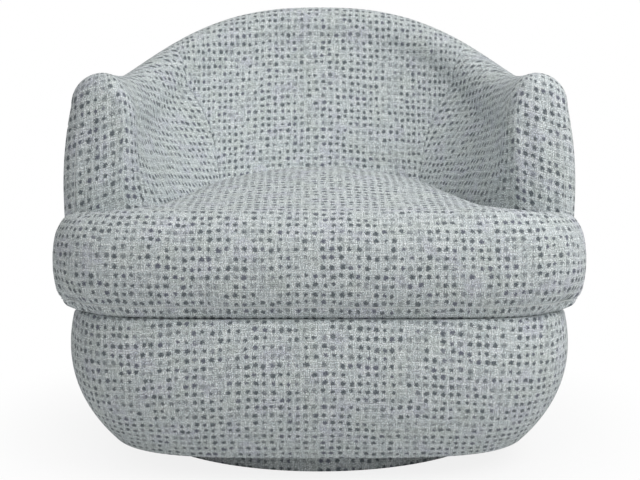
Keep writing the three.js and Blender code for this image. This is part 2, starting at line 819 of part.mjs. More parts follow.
function make_cross_rails() {
  [['front', -1], ['rear', 1]].forEach(([name, end]) => {
    const middle_y = end * cross_rail_y;
    const low_y = middle_y - cross_rail_width / 2;
    const high_y = middle_y + cross_rail_width / 2;
    const narrowest = Math.min(...[low_y, high_y].map((y) => rail_face_crossing('y', y).x));
    const half_length = narrowest - rest_gap;
    const rail = block(
      [-half_length, low_y, cross_rail_bottom],
      [half_length, high_y, cross_rail_bottom + cross_rail_thickness],
    );
    add_piece(`cross_rail_${name}`, rail, wood_finish());
  });
}

// A round wire that follows a list of points: five-sided rings, closed at both ends.
function wire(points, radius, sides) {
  const rings = points.map((point, index) => {
    const before = points[Math.max(index - 1, 0)];
    const after = points[Math.min(index + 1, points.length - 1)];
    const along = after.clone().sub(before).normalize();
    const level = new THREE.Vector3(-along.y, along.x, 0).normalize();
    const raised = along.clone().cross(level);
    return Array.from({ length: sides }, (_, side) => {
      const turn = (side / sides) * Math.PI * 2;
      return point.clone()
        .addScaledVector(level, radius * Math.cos(turn))
        .addScaledVector(raised, radius * Math.sin(turn));
    });
  });
  const positions = rings.flat().flatMap((point) => point.toArray());
  const faces = [];
  for (let row = 0; row < rings.length - 1; row += 1) {
    for (let side = 0; side < sides; side += 1) {
      const corner = row * sides + side;
      const beside = row * sides + (side + 1) % sides;
      faces.push(corner, beside, beside + sides, corner, beside + sides, corner + sides);
    }
  }
  const last = (rings.length - 1) * sides;
  for (let side = 1; side < sides - 1; side += 1) {
    faces.push(0, side + 1, side, last, last + side, last + side + 1);
  }
  return closed_geometry(positions, faces);
}

function least_self_gap(points, radius, neighbours) {
  let least = Infinity;
  points.forEach((point, index) => {
    points.slice(index + neighbours).forEach((other) => {
      least = Math.min(least, point.distanceTo(other) - 2 * radius);
    });
  });
  return least;
}

// Zigzag springs that carry the deck from the front rail to the rear rail.
function make_seat_wires() {
  const height = rail_top - seat_wire_drop;
  const front_y = front_rail_y + rail_thickness + rest_gap;
  const outermost = crest_half_width + rail_inner - seat_wire_margin;
  spaced(-outermost, outermost, seat_wire_count - 1).forEach((x, index) => {
    const rear_y = rail_face_crossing('x', Math.abs(x) + seat_wire_radius).y - rest_gap;
    const steps = seat_wire_waves * wave_steps;
    const zigzag = spaced(0, 1, steps).map((share) => {
      const swing = Math.sin(share * seat_wire_waves * Math.PI * 2);
      const y = mix(front_y + seat_wire_lead, rear_y - seat_wire_lead, share);
      return new THREE.Vector3(x + seat_wire_swing * swing, y, height);
    });
    const ends = [front_y, rear_y].map((y) => new THREE.Vector3(x, y, height));
    const points = [ends[0], ...zigzag, ends[1]];
    add_piece(`seat_spring_${index + 1}`, wire(points, seat_wire_radius, spring_sides), steel_finish());
  });
}

// Where the seat rails' inner faces cross a line along or across the chair. The faces are
// followed facet by facet, from the front of the right rail to the middle of the back.
function rail_face_crossing(axis, value) {
  const walk = [...side_rail_walk(1), ...rear_rail_walk()];
  const face = walk.map(({ origin, across, crest }) => {
    return origin.clone().addScaledVector(across, crest + rail_inner);
  });
  const index = face.findIndex((point, step) => {
    const next = face[step + 1];
    return next && (point[axis] - value) * (next[axis] - value) <= 0;
  });
  const start = face[index];
  const end = face[index + 1];
  return start.clone().lerp(end, (value - start[axis]) / (end[axis] - start[axis]));
}

// The deck under the cushion: its rear follows the rails and its front fills the bowl.
function make_deck() {
  const rear = spaced(0, Math.PI, back_steps).map((angle) => {
    const distance = reach(crest_outline, angle) + deck_outer;
    return new THREE.Vector2(distance * Math.cos(angle), widest_y + distance * Math.sin(angle));
  });
  const neck_y = spaced(widest_y, deck_step_y, arm_steps).slice(1);
  const neck = neck_y.map((y) => new THREE.Vector2(-(arm_station(1, y).crest + deck_outer), y));
  const ledge = spaced(-Math.PI, 0, body_steps).map((angle) => {
    const distance = reach(crease_outline, angle) - body_flange - rest_gap;
    return new THREE.Vector2(distance * Math.cos(angle), widest_y + distance * Math.sin(angle));
  });
  const front = ledge.filter((point) => point.y <= deck_step_y);
  const mirrored = [...neck].reverse().map((point) => new THREE.Vector2(-point.x, point.y));
  const shape = new THREE.Shape([...rear, ...neck, ...front, ...mirrored]);
  const geometry = new THREE.ExtrudeGeometry(shape, { depth: deck_thickness, bevelEnabled: false });
  add_piece('seat_deck', geometry.translate(0, 0, rail_top + rest_gap), jute_finish());
}

function make_dust_cover() {
  const rear = spaced(0, Math.PI, back_steps).map((angle) => {
    const distance = reach(crest_outline, angle) + deck_outer;
    return new THREE.Vector2(distance * Math.cos(angle), widest_y + distance * Math.sin(angle));
  });
  const front_x = arm_station(1, front_rail_y).crest + rail_outer;
  const corners = [new THREE.Vector2(-front_x, front_rail_y), new THREE.Vector2(front_x, front_rail_y)];
  const shape = new THREE.Shape([...rear, ...corners]);
  const half_hole = dust_cover_hole / 2;
  shape.holes.push(new THREE.Path([
    new THREE.Vector2(-half_hole, -half_hole),
    new THREE.Vector2(-half_hole, half_hole),
    new THREE.Vector2(half_hole, half_hole),
    new THREE.Vector2(half_hole, -half_hole),
  ]));
  const geometry = new THREE.ExtrudeGeometry(shape, { depth: dust_cover_thickness, bevelEnabled: false });
  const bottom = rail_bottom - rest_gap - dust_cover_thickness;
  add_piece('dust_cover', geometry.translate(0, 0, bottom), cambric_finish());
}

function make_plinth() {
  const ring_radius = plinth_radius - plinth_fabric - rest_gap;
  const ring_inner = ring_radius - plinth_wall;
  const ring_top = plinth_ring_bottom + plinth_ring_height;
  const ring = turned([
    [ring_inner, plinth_ring_bottom],
    [ring_radius, plinth_ring_bottom],
    [ring_radius, ring_top],
    [ring_inner, ring_top],
  ], plinth_segments);
  add_piece('plinth_ring', ring, wood_finish());
  const cover = turned([
    [ring_radius + rest_gap, plinth_ring_bottom],
    [plinth_radius, plinth_ring_bottom],
    [plinth_radius, plinth_top],
    [ring_radius + rest_gap, plinth_top],
  ], plinth_segments);
  add_piece('plinth_cover', cover, cover_finish());
  const king_hole = king_radius + king_clearance;
  const board = turned([
    [king_hole, plinth_board_bottom],
    [ring_radius, plinth_board_bottom],
    [ring_radius, plinth_top],
    [king_hole, plinth_top],
  ], plinth_segments);
  add_piece('plinth_board', board, wood_finish());
  const glide_place = ring_radius - plinth_wall / 2;
  for (let index = 0; index < 4; index += 1) {
    const angle = (index + 1 / 2) * Math.PI / 2;
    const glide = upright_cylinder(glide_radius, 0, glide_height);
    glide.translate(glide_place * Math.cos(angle), glide_place * Math.sin(angle), 0);
    add_piece(`glide_${index + 1}`, glide, nylon_finish());
  }
}

// One race of the swivel bearing: a round plate with a raised track for the balls.
function race(plate_low, plate_high, track_height) {
  const hole = king_radius + king_clearance;
  const track_inner = race_track_radius - race_track_width / 2;
  const track_outer = race_track_radius + race_track_width / 2;
  const is_upward = track_height > plate_high;
  const face = is_upward ? plate_high : plate_low;
  const back = is_upward ? plate_low : plate_high;
  return turned([
    [hole, back],
    [race_radius, back],
    [race_radius, face],
    [track_outer, face],
    [track_outer, track_height],
    [track_inner, track_height],
    [track_inner, face],
    [hole, face],
  ], race_segments);
}

function make_swivel() {
  const lower = race(lower_race_bottom, lower_race_bottom + race_thickness, lower_track_top);
  add_piece('lower_race', lower, steel_finish());
  const upper = race(upper_race_bottom, upper_race_top, upper_track_bottom);
  add_piece('upper_race', upper, steel_finish());
  const cage = turned([
    [race_track_radius - cage_width / 2, ball_height - cage_thickness / 2],
    [race_track_radius + cage_width / 2, ball_height - cage_thickness / 2],
    [race_track_radius + cage_width / 2, ball_height + cage_thickness / 2],
    [race_track_radius - cage_width / 2, ball_height + cage_thickness / 2],
  ], race_segments);
  const balls = Array.from({ length: ball_count }, (_, index) => {
    const angle = (index / ball_count) * Math.PI * 2;
    return new THREE.SphereGeometry(ball_radius, ball_segments, ball_rings)
      .translate(race_track_radius * Math.cos(angle), race_track_radius * Math.sin(angle), ball_height);
  });
  add_piece('ball_ring', joined([cage, ...balls]), dark_steel_finish());
  const shank = upright_cylinder(king_radius, plinth_board_bottom - cut_overrun, cradle_floor + cut_overrun);
  const foot_top = plinth_board_bottom - rest_gap;
  const foot = upright_cylinder(king_head_radius, foot_top - king_head_height, foot_top);
  const head_bottom = cradle_floor + rest_gap;
  const head = upright_cylinder(king_head_radius, head_bottom, head_bottom + king_head_height);
  add_piece('king_bolt', joined([shank, foot, head]), dark_steel_finish());
}

// An ear with a round end about the pivot, cut from sheet that stands across the chair.
// It leaves its plate at root_height, where it is foot_length long.
function ear(inner_x, root_height, foot_length) {
  const shape = new THREE.Shape();
  const is_upward = root_height < pivot_height;
  const start = is_upward ? 0 : Math.PI;
  const half_foot = foot_length / 2;
  const arc = spaced(start, start + Math.PI, small_segments / 2).map((angle) => new THREE.Vector2(
    pivot_boss * Math.cos(angle),
    pivot_height + pivot_boss * Math.sin(angle),
  ));
  const far = is_upward ? -half_foot : half_foot;
  shape.setFromPoints([new THREE.Vector2(-far, root_height), ...arc, new THREE.Vector2(far, root_height)]);
  const geometry = new THREE.ExtrudeGeometry(shape, { depth: plate_thickness, bevelEnabled: false });
  return geometry.rotateX(Math.PI / 2).rotateZ(Math.PI / 2).translate(inner_x, 0, 0);
}

function spring_spots() {
  return [[1, 1], [-1, 1], [-1, -1], [1, -1]].map(([side, end]) => [side * spring_x, end * spring_y]);
}

// The cradle turns on the bearing: a plate with two ears for the pivots and four bosses
// that locate the springs.
function make_cradle() {
  const half_length = cradle_length / 2;
  const floor = block(
    [-cradle_half_width, -half_length, cradle_bottom],
    [cradle_half_width, half_length, cradle_floor],
  );
  const root = cradle_bottom + plate_thickness / 2;
  const ear_places = [-cradle_half_width, cradle_half_width - plate_thickness];
  const ears = ear_places.map((x) => ear(x, root, cradle_foot));
  const bosses = spring_spots().map(([x, y]) => {
    return upright_cylinder(spring_boss_radius, root, cradle_floor + spring_boss_height).translate(x, y, 0);
  });
  const reach_x = cradle_half_width + cut_overrun;
  const pivot_hole = cross_cylinder(pivot_radius + pivot_clearance, -reach_x, reach_x);
  const hole_foot = cradle_bottom - cut_overrun;
  const king_hole = upright_cylinder(king_radius + king_clearance, hole_foot, cradle_floor + cut_overrun);
  const cradle = cut(joined([floor, ...ears, ...bosses]), [pivot_hole, king_hole]);
  add_piece('rocker_cradle', cradle, steel_finish());
}

// The top plate rocks on the pivots and carries the seat frame.
function make_top_plate() {
  const half_length = cradle_length / 2;
  const ear_x = cradle_half_width + washer_thickness + 2 * rest_gap;
  const half_width = ear_x + plate_thickness + plate_overhang;
  const plate = block([-half_width, -half_length, plate_bottom], [half_width, half_length, plate_top]);
  const root = plate_bottom + plate_thickness / 2;
  const ears = [-ear_x - plate_thickness, ear_x].map((x) => ear(x, root, cradle_foot));
  const bosses = spring_spots().map(([x, y]) => {
    return upright_cylinder(spring_boss_radius, plate_bottom - spring_boss_height, root).translate(x, y, 0);
  });
  const reach_x = ear_x + plate_thickness + cut_overrun;
  const pivot_hole = cross_cylinder(pivot_radius + pivot_clearance, -reach_x, reach_x);
  add_piece('rocker_plate', cut(joined([plate, ...ears, ...bosses]), [pivot_hole]), steel_finish());
}

function make_pivots() {
  const washer_x = cradle_half_width + rest_gap;
  const inner_x = cradle_half_width - plate_thickness - rest_gap - pivot_head_height;
  const ear_outer_x = cradle_half_width + washer_thickness + 2 * rest_gap + plate_thickness;
  const head_x = ear_outer_x + rest_gap;
  [['right', 1], ['left', -1]].forEach(([name, side]) => {
    const nut = cross_cylinder(pivot_head_radius, inner_x, inner_x + pivot_head_height);
    const shank = cross_cylinder(pivot_radius, inner_x, head_x + pivot_head_height / 2);
    const head = cross_cylinder(pivot_head_radius, head_x, head_x + pivot_head_height);
    const washer = cross_cylinder(pivot_boss, washer_x, washer_x + washer_thickness);
    const bolt = joined([nut, shank, head, washer]);
    if (side < 0) bolt.rotateZ(Math.PI);
    add_piece(`pivot_bolt_${name}`, bolt, dark_steel_finish());
  });
}

function make_springs() {
  const low = cradle_floor + rest_gap + spring_wire_radius;
  const high = plate_bottom - rest_gap - spring_wire_radius;
  const steps = spring_turns * spring_steps;
  const points = spaced(0, 1, steps).map((share) => {
    const turn = share * spring_turns * Math.PI * 2;
    const height = mix(low, high, share);
    return new THREE.Vector3(spring_radius * Math.cos(turn), spring_radius * Math.sin(turn), height);
  });
  const least = least_self_gap(points, spring_wire_radius, spring_steps / 2);
  console.log('rocker spring least gap to itself, mm:', least.toFixed(2));
  spring_spots().forEach(([x, y], index) => {
    const spring = wire(points, spring_wire_radius, spring_sides).translate(x, y, 0);
    add_piece(`rocker_spring_${index + 1}`, spring, steel_finish());
  });
}

// Rubber stops on the cradle that the top plate meets at the end of its rock.
function make_bumpers() {
  const rise = plate_bottom - pivot_height;
  const outer = bumper_y + bumper_radius;
  const lowered = pivot_height + rise * Math.cos(rock_angle) - outer * Math.sin(rock_angle);
  const top = lowered - bumper_clearance;
  [['front', -1], ['rear', 1]].forEach(([name, end]) => {
    const bumper = upright_cylinder(bumper_radius, cradle_floor + rest_gap, top);
    add_piece(`bumper_${name}`, bumper.translate(0, end * bumper_y, 0), rubber_finish());
  });
}

make_plinth();
make_swivel();
make_cradle();
make_pivots();
make_springs();
make_bumpers();
make_top_plate();
make_cross_rails();
make_seat_rails();
make_corner_blocks();
make_posts();
make_top_rails();
make_seat_wires();
make_deck();
make_dust_cover();
make_body_band();
make_tub();
make_cushion();

export default chair;
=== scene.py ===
"""Swivel rocker: covers, cushion, finishes and stage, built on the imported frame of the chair.

Metres, +Z up. The chair faces -Y and the origin is on the floor, on the swivel axis.
Every cover carries a UV map named cloth, in metres, whose rows are the rows of the weave.
"""

import math
from functools import partial

import bpy
import numpy as np
from bpy.props import FloatProperty, FloatVectorProperty, PointerProperty
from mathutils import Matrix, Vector


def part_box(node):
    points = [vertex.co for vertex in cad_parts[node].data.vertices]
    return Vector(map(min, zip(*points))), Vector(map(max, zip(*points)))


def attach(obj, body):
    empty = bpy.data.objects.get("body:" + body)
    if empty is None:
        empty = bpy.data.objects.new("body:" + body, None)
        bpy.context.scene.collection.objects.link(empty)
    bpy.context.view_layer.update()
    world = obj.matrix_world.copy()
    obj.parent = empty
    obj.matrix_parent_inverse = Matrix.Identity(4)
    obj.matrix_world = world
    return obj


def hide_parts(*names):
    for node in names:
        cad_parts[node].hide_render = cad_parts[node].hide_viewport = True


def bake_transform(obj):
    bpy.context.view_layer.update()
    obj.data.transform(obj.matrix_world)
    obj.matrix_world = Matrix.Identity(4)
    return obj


bl_info = {
    "name": "Swivel Rocker",
    "version": (1, 0, 0),
    "blender": (4, 5, 0),
    "location": "3D View > Sidebar > Chair",
    "description": "Makes the covers, cushion, finishes and stage of a swivel rocker",
    "category": "Add Mesh",
}

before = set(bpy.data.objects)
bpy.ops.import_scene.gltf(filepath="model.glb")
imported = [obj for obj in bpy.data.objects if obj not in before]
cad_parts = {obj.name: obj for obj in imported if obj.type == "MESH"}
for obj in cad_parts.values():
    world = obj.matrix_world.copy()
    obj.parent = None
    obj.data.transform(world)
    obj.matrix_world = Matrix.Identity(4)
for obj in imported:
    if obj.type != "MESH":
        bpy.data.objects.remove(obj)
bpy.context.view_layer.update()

SIDES = (("right", 1), ("left", -1))
BACK_STRETCH = (1.058, 1.107)  # how far the cloth is pulled across and up the inside back
ARM_STRETCH = (1.0, 1.09)  # and over an arm
ARM_PULL = (1.85, 1.0)  # and along the inside of an arm, at its front and by the seam
PULL_EASES = (0.16, 0.2)  # where along the arm that pull starts to ease, and over what length
ROLL_PULL = 1.2  # how far it is pulled along the outer side of the arm's roll
EVENED = 0.75  # how far lengths along an arm are evened out between seat and roll
FRONT_SLOPE = 0.3  # climb of the rows on an arm's front towards its inner edge
ROW_DROP, DROP_RUN = 0.036, 0.13  # how far the rows inside an arm fall, and over what length

QUARTER_ROWS = 7  # places along the quarter circle of a rounding
INSIDE_COLUMNS, ROLL_COLUMNS, FLAP_COLUMNS, SLOT_COLUMNS = 44, 39, 9, 10  # of a wall's padding
ARM_ROWS, ARM_PANEL_ROWS, BACK_ROWS = 96, 72, 96  # upright planes along the covers
ROUND_ROWS = 241  # upright planes round the bowl, the first one twice
OUTLINE_POINTS, RING_POINTS = 900, 360  # round the cushion, to measure it and to build it
SAME_PLACE = 1e-6  # lengths under this count as none
TINY = 1e-9  # keeps a length that something is divided by off zero

DIP_PLACE, DIP_SPREAD = -0.02, 0.11  # where along the chair an arm's top sinks, and how widely
PAD_FALL, PANEL_FALL = 0.9, 0.8  # shares of a seam's radius that padding and panels fall into it
PRESS_SPREAD = 0.0022  # how wide the seam in an arm's front is pressed
NEAR_FLAP, NEAR_SEAM = 0.006, 0.09  # reach of the closer columns and rows by that seam
DOME, DOME_RUNS = 0.004, (0.05, 0.06)  # swell of an arm's front, and how it starts and ends
STITCH, STITCH_STEP = 0.0042, 0.0012  # length of a stitch, and of a thread's rings
LIFT_START, LIFT_RUN = -0.26, 0.06  # where the bowl's front edge starts to lift, and how soon
PLINTH_SKIN, PLINTH_EDGE = 0.0024, 0.002  # thickness of the plinth's cloth, and its turned edge
PANEL_START, PLINTH_START, CUSHION_START = 0.03, (0.004, 0.003), 0.002  # shifts of the cloth

FILL_FRAMES, FILL_PRESSURE = 20, 4  # of the cloth solver
HOLD_RUN = 0.03  # over what length the most that the cushion may swell falls to nothing
EAR_START, EAR_RUN = 0.26, 0.13  # from where across the cushion its ears are let out, and how soon
AHEAD = -0.2  # and from where along the chair its front is
EDGE_START, EDGE_RUN = 0.85, 0.1  # share of the way out where its lower edge lifts, and how soon
LIFT_HEIGHT = 0.055  # height over which that lift fades
FRONT_END, FRONT_RUN = 0.34, 0.08  # how far across its front's lower edge goes, and how it ends
PRESS, PRESS_HEIGHT = 0.0022, 0.0042  # depth and spread of the seam round its front
SEAM_REACH, LINE_REACH = 0.016, 0.0026  # how near that seam is pressed, and its depth measured
THREAD_RISE = 0.0006  # how far its thread stands out from that depth
SEAM_WINDOW = 13  # outline points over which the depth of its thread is evened out


def metres(name, default, description):
    """A size in metres that a user may change."""
    return FloatProperty(
        name=name, default=default, description=description, unit="LENGTH", precision=4
    )


def number(name, default, description):
    """A plain number that a user may change."""
    return FloatProperty(name=name, default=default, description=description, precision=3)


def degrees(name, default, description):
    """An angle, given in degrees, that a user may change."""
    return FloatProperty(
        name=name, default=math.radians(default), description=description, subtype="ANGLE"
    )


def colour(name, default, description):
    """A colour, linear red, green and blue."""
    return FloatVectorProperty(
        name=name, default=default, description=description, subtype="COLOR", size=3, min=0, max=1
    )


class TubSizes(bpy.types.PropertyGroup):
    """Sizes of the wall that forms the arms and the back."""

    widest_y: metres("Widest line", -0.1, "Line across the chair where every outline is widest")
    arm_height: metres("Arm height", 0.64, "Top of the arms")
    back_height: metres("Back height", 0.779, "Top of the back")
    crest_half: metres("Crest half width", 0.36, "Half the width between the arms' crest lines")
    crest_taper: metres("Crest taper", 0.022, "How far the crest leans in at the front of an arm")
    crest_rear: metres("Crest length", 0.47, "Widest line to the crest at the rear")
    crest_power: number("Crest power", 2.5, "Squareness of the crest line in plan")
    roll: metres("Roll radius", 0.052, "Half the thickness of the rounded top")
    arm_fall: metres("Arm fall", 0.084, "Height of the rounded top on the inner side of an arm")
    back_fall: metres("Back fall", 0.06, "Height of the rounded top on the inner side of the back")
    rise_start: metres("Rise start", 0.042, "Place along the chair where the crest starts to climb")
    rise_end: metres("Rise end", 0.37, "Place along the chair where the crest is highest")
    rise_power: number("Rise power", 1.6, "How late the crest climbs")
    dip: metres("Arm dip", 0.004, "How far an arm's top sinks behind its front")
    inside_half: metres("Inside half width", 0.258, "Half the width between the arms at the seat")
    inside_flare: metres("Inside flare", 0.047, "How much wider the seat is at its front")
    inside_rear: metres("Inside length", 0.25, "Widest line to the inside of the back at the seat")
    recline_power: number("Recline power", 1.2, "Curve of the inside from seat to crest")
    belly_half: metres("Belly half width", 0.425, "Half the width at the fullest height")
    belly_taper: metres("Belly taper", 0.018, "How far the belly leans in at the front")
    belly_rear: metres("Belly length", 0.545, "Widest line to the rear of the back")
    belly_power: number("Belly power", 2.4, "Squareness of the belly in plan")
    belly_height: metres("Belly height", 0.45, "Height where the outside is fullest")
    seat_line: metres("Seat line", 0.42, "Height where the cushion meets the wall")
    foot: metres("Foot", 0.2623, "Height where the wall stands on the bowl")
    front: metres("Arm front", -0.3, "Front of the arms")
    front_depth: metres("Arm front depth", 0.046, "Depth of the closed end of an arm")
    inner_round: metres("Inner edge width", 0.028, "How far the arm's inner edge rounds across")
    inner_deep: metres("Inner edge depth", 0.054, "How far it rounds along the arm")
    outer_round: metres("Outer edge width", 0.026, "How far the arm's outer edge rounds across")
    outer_deep: metres("Outer edge depth", 0.034, "How far it rounds along the arm")
    front_seam: metres("Front seam", 0.018, "How far inside the outer edge the front seam runs")
    seam_angle: degrees("Seam angle", 48, "Seam of the inside back and an inside arm")
    seam_bow: degrees("Seam bow", 5.5, "How far that seam bows in halfway up")
    seam_sink: degrees("Seam sink", 4.5, "How far that seam leans towards the arm at the seat")
    pad: metres("Padding", 0.04, "Thickness of the padding inside the wall")
    roll_cover: metres("Roll cover", 0.045, "Padding over the top rail")
    flap: metres("Flap", 0.034, "How far the roll hangs down outside, below its middle")
    slot: metres("Slot", 0.021, "Crest line to the outer face of the slot for the frame")
    panel: metres("Panel", 0.012, "Thickness of the outside panels")
    seam_round: metres("Seam radius", 0.004, "Rounding of the padding into a seam")
    flap_round: metres("Flap radius", 0.002, "Rounding where the flap meets an outside panel")
    seam_deep: metres("Seam depth", 0.0016, "Depth of a sewn seam in the cloth")
    thread: metres("Thread", 0.001, "Half the thickness of the thread along a seam")


class BowlSizes(bpy.types.PropertyGroup):
    """Sizes of the body below the cushion and of the plinth."""

    rim_height: metres("Rim height", 0.034, "Bottom edge of the bowl")
    top_height: metres("Top height", 0.262, "Top edge, under the cushion")
    fullest: metres("Fullest height", 0.205, "Height where the bowl is widest")
    half: metres("Rim half width", 0.345, "Half the width of the rim")
    front: metres("Rim front", 0.261, "Widest line to the rim's front")
    rear: metres("Rim rear", 0.47, "Widest line to the rim's rear")
    side_flare: metres("Side flare", 0.062, "Swell of the sides past the rim")
    end_flare: metres("End flare", 0.068, "Swell of the front and rear past the rim")
    rim_power: number("Rim power", 3.7, "Squareness of the rim's front")
    top_power: number("Top power", 5, "Squareness of the front where it is fullest")
    rear_power: number("Rear power", 2.4, "Squareness of the rear")
    edge: metres("Edge radius", 0.007, "Rounding of the rim")
    top_edge: metres("Top edge radius", 0.008, "Rounding of the edge under the cushion")
    front_lift: metres("Front lift", 0.0055, "How far its top edge rises under the cushion's front")
    skin: metres("Skin", 0.014, "Thickness of the bowl's wall")
    ledge: metres("Ledge", 0.019, "Width of the ledge turned in at the top")


class CushionSizes(bpy.types.PropertyGroup):
    """Sizes of the loose seat cushion, whose ears pass in front of the arms."""

    half: metres("Half width", 0.433, "Half the width across the ears")
    front: metres("Front", 0.345, "Widest line to the cushion's front")
    front_power: number("Front power", 5.5, "Squareness of the front in plan")
    corner: metres("Ear corner", 0.044, "Plan radius behind each ear")
    fillet: metres("Neck fillet", 0.026, "Plan radius between an ear and the neck")
    clearance: metres("Clearance", 0.003, "Gap to the padding beside the cushion")
    bottom: metres("Bottom", 0.2623, "Underside of the cushion")
    fullest: metres("Fullest height", 0.347, "Height where its sides are fullest")
    edge: metres("Edge height", 0.428, "Where the rounded edge meets the crowned top")
    crown: metres("Crown height", 0.474, "Highest point of the top")
    crown_front: metres("Crown front half", 0.36, "Half the width of the crown between the ears")
    crown_rear: metres("Crown rear half", 0.27, "Half the width of the crown towards the back")
    crown_y: metres("Crown place", -0.09, "Place of the highest point along the chair")
    front_round: metres("Front rounding", 0.06, "Plan depth of the rounded front edge")
    inner_round: metres("Side rounding", 0.03, "Plan depth of the rounding between the arms")
    crown_power: number("Crown power", 1.5, "How sharply the top is crowned")
    lower_power: number("Lower power", 1.62, "Squareness of the lower edge")
    front_lower_power: number("Front lower power", 1.9, "Squareness of the lower edge in front")
    rear_lower_power: number("Rear lower power", 3.6, "Squareness of the lower edge by the arms")
    front_lower_round: metres("Front lower round", 0.056, "Plan depth of the lower edge in front")
    edge_lift: metres("Edge lift", 0.0105, "How far its lower edge lifts off the bowl in front")
    seam_height: metres("Seam height", 0.2885, "Height of the seam round the front")
    upper_power: number("Upper power", 2.6, "Squareness of the upper edge")
    slack: metres("Slack", 0.005, "How much smaller the cushion is before it is filled")
    swell: metres("Most swell", 0.009, "How far filling may move any point of the cushion")
    voxel: metres("Mesh size", 0.0069, "Mesh size for filling the cushion")


class ClothLook(bpy.types.PropertyGroup):
    """The woven cover: pitch of its dots, and its colours."""

    pitch_across: metres("Dot pitch across", 0.013, "Distance between dots along a row")
    pitch_up: metres("Dot pitch up", 0.014, "Distance between rows of dots")
    dot: metres("Dot size", 0.0076, "Width of a dot")
    wander: metres("Wander", 0.009, "How far rows and columns of dots stray")
    shift: number("Dot shift", 0.26, "How far a dot strays from its place, in pitches")
    ragged: number("Dot raggedness", 0.5, "How ragged the edge of a dot is, in pitches")
    ground: colour("Ground", (0.58, 0.635, 0.65), "The pale grey-blue ground")
    slate: colour("Slate", (0.055, 0.075, 0.09), "Most of the dots")
    violet: colour("Violet", (0.08, 0.088, 0.135), "Some of the dots")
    thread: colour("Thread", (0.86, 0.9, 0.9), "Pale threads along rows and columns")
    cream: colour("Cream green", (0.585, 0.64, 0.62), "Tint of some patches")
    lavender: colour("Lavender", (0.58, 0.605, 0.675), "Tint of other patches")


class FrameFinishes(bpy.types.PropertyGroup):
    """Colours of the frame and the mechanism, and sizes of the rocker's springs."""

    wood: colour("Wood", (0.58, 0.4, 0.22), "Unfinished hardwood")
    wood_grain: colour("Grain", (0.42, 0.26, 0.12), "Darker lines in the wood")
    steel: colour("Steel", (0.42, 0.43, 0.45), "Plated steel")
    dark_steel: colour("Dark steel", (0.06, 0.065, 0.07), "Oiled bolts and bearing balls")
    jute: colour("Jute", (0.4, 0.3, 0.16), "Webbing and deck")
    cambric: colour("Cambric", (0.02, 0.02, 0.022), "Dust cover")
    nylon: colour("Nylon", (0.03, 0.03, 0.03), "Glides")
    rubber: colour("Rubber", (0.016, 0.016, 0.017), "Rocker stops")
    spring_wire: metres("Spring wire", 0.0048, "Thickness of the wire of the rocker's springs")
    spring_turns: number("Spring turns", 5, "Turns of each of those springs")


class StageLook(bpy.types.PropertyGroup):
    """Camera, floor and light."""

    distance: metres("Camera distance", 2.3, "Camera to the swivel axis, level")
    eye: metres("Camera height", 0.6245, "Height of the camera")
    pitch: degrees("Camera pitch", 7.1, "How far it looks down")
    lens: number("Lens", 71.16, "Focal length for a 36 mm wide sensor, in millimetres")
    shift: number("Shift", 0.00092, "Sideways shift of the picture, in picture widths")
    floor: colour("Floor", (0.8, 0.8, 0.8), "The pale floor")
    key: number("Key light", 39, "Power of the large lamp at the right, in watts")
    fill: number("Fill light", 2.4, "Power of the lamp at the left, in watts")
    top: number("Top light", 12, "Power of the lamp above, in watts")
    low: number("Low light", 2.2, "Power of the low lamp in front, in watts")
    rear: number("Rear light", 9, "Power of the lamp behind, in watts")
    sky: number("Sky light", 0.28, "Strength of the light from all round")


# Shapes

def mix(low, high, share):
    """Straight blend of two values: all low at share 0 and all high at share 1."""
    return low + (high - low) * share


def clamp(value):
    """The value held between 0 and 1."""
    return np.clip(value, 0, 1)


def smooth(value):
    """A smooth step from 0 to 1: three squares less two cubes of the value, held between them."""
    value = clamp(value)
    return value**2 * (3 - 2 * value)


def reach(angle, half, length, power):
    """Distance to a superellipse in a direction from its middle: across over half and along
    over length, each raised to the power, add up to one on it."""
    across = np.abs(np.cos(angle)) / half
    along = np.abs(np.sin(angle)) / length
    return (across**power + along**power) ** (-1 / power)


def bowl_outline(bowl, height):
    """The bowl's outline at a height. It swells as a parabola, one less the square of the fall
    from its fullest height over the fall to its rim."""
    share = 1 - ((bowl.fullest - height) / (bowl.fullest - bowl.rim_height)) ** 2
    return {
        "half": bowl.half + bowl.side_flare * share,
        "front": bowl.front + bowl.end_flare * share,
        "rear": bowl.rear + bowl.end_flare * share,
        "front_power": mix(bowl.rim_power, bowl.top_power, share),
    }


def bowl_reach(bowl, height, angle):
    """Distance from the middle of the widest line to the bowl, front or rear by the angle."""
    outline = bowl_outline(bowl, height)
    rear = reach(angle, outline["half"], outline["rear"], bowl.rear_power)
    front = reach(angle, outline["half"], outline["front"], outline["front_power"])
    return np.where(np.sin(angle) >= 0, rear, front)


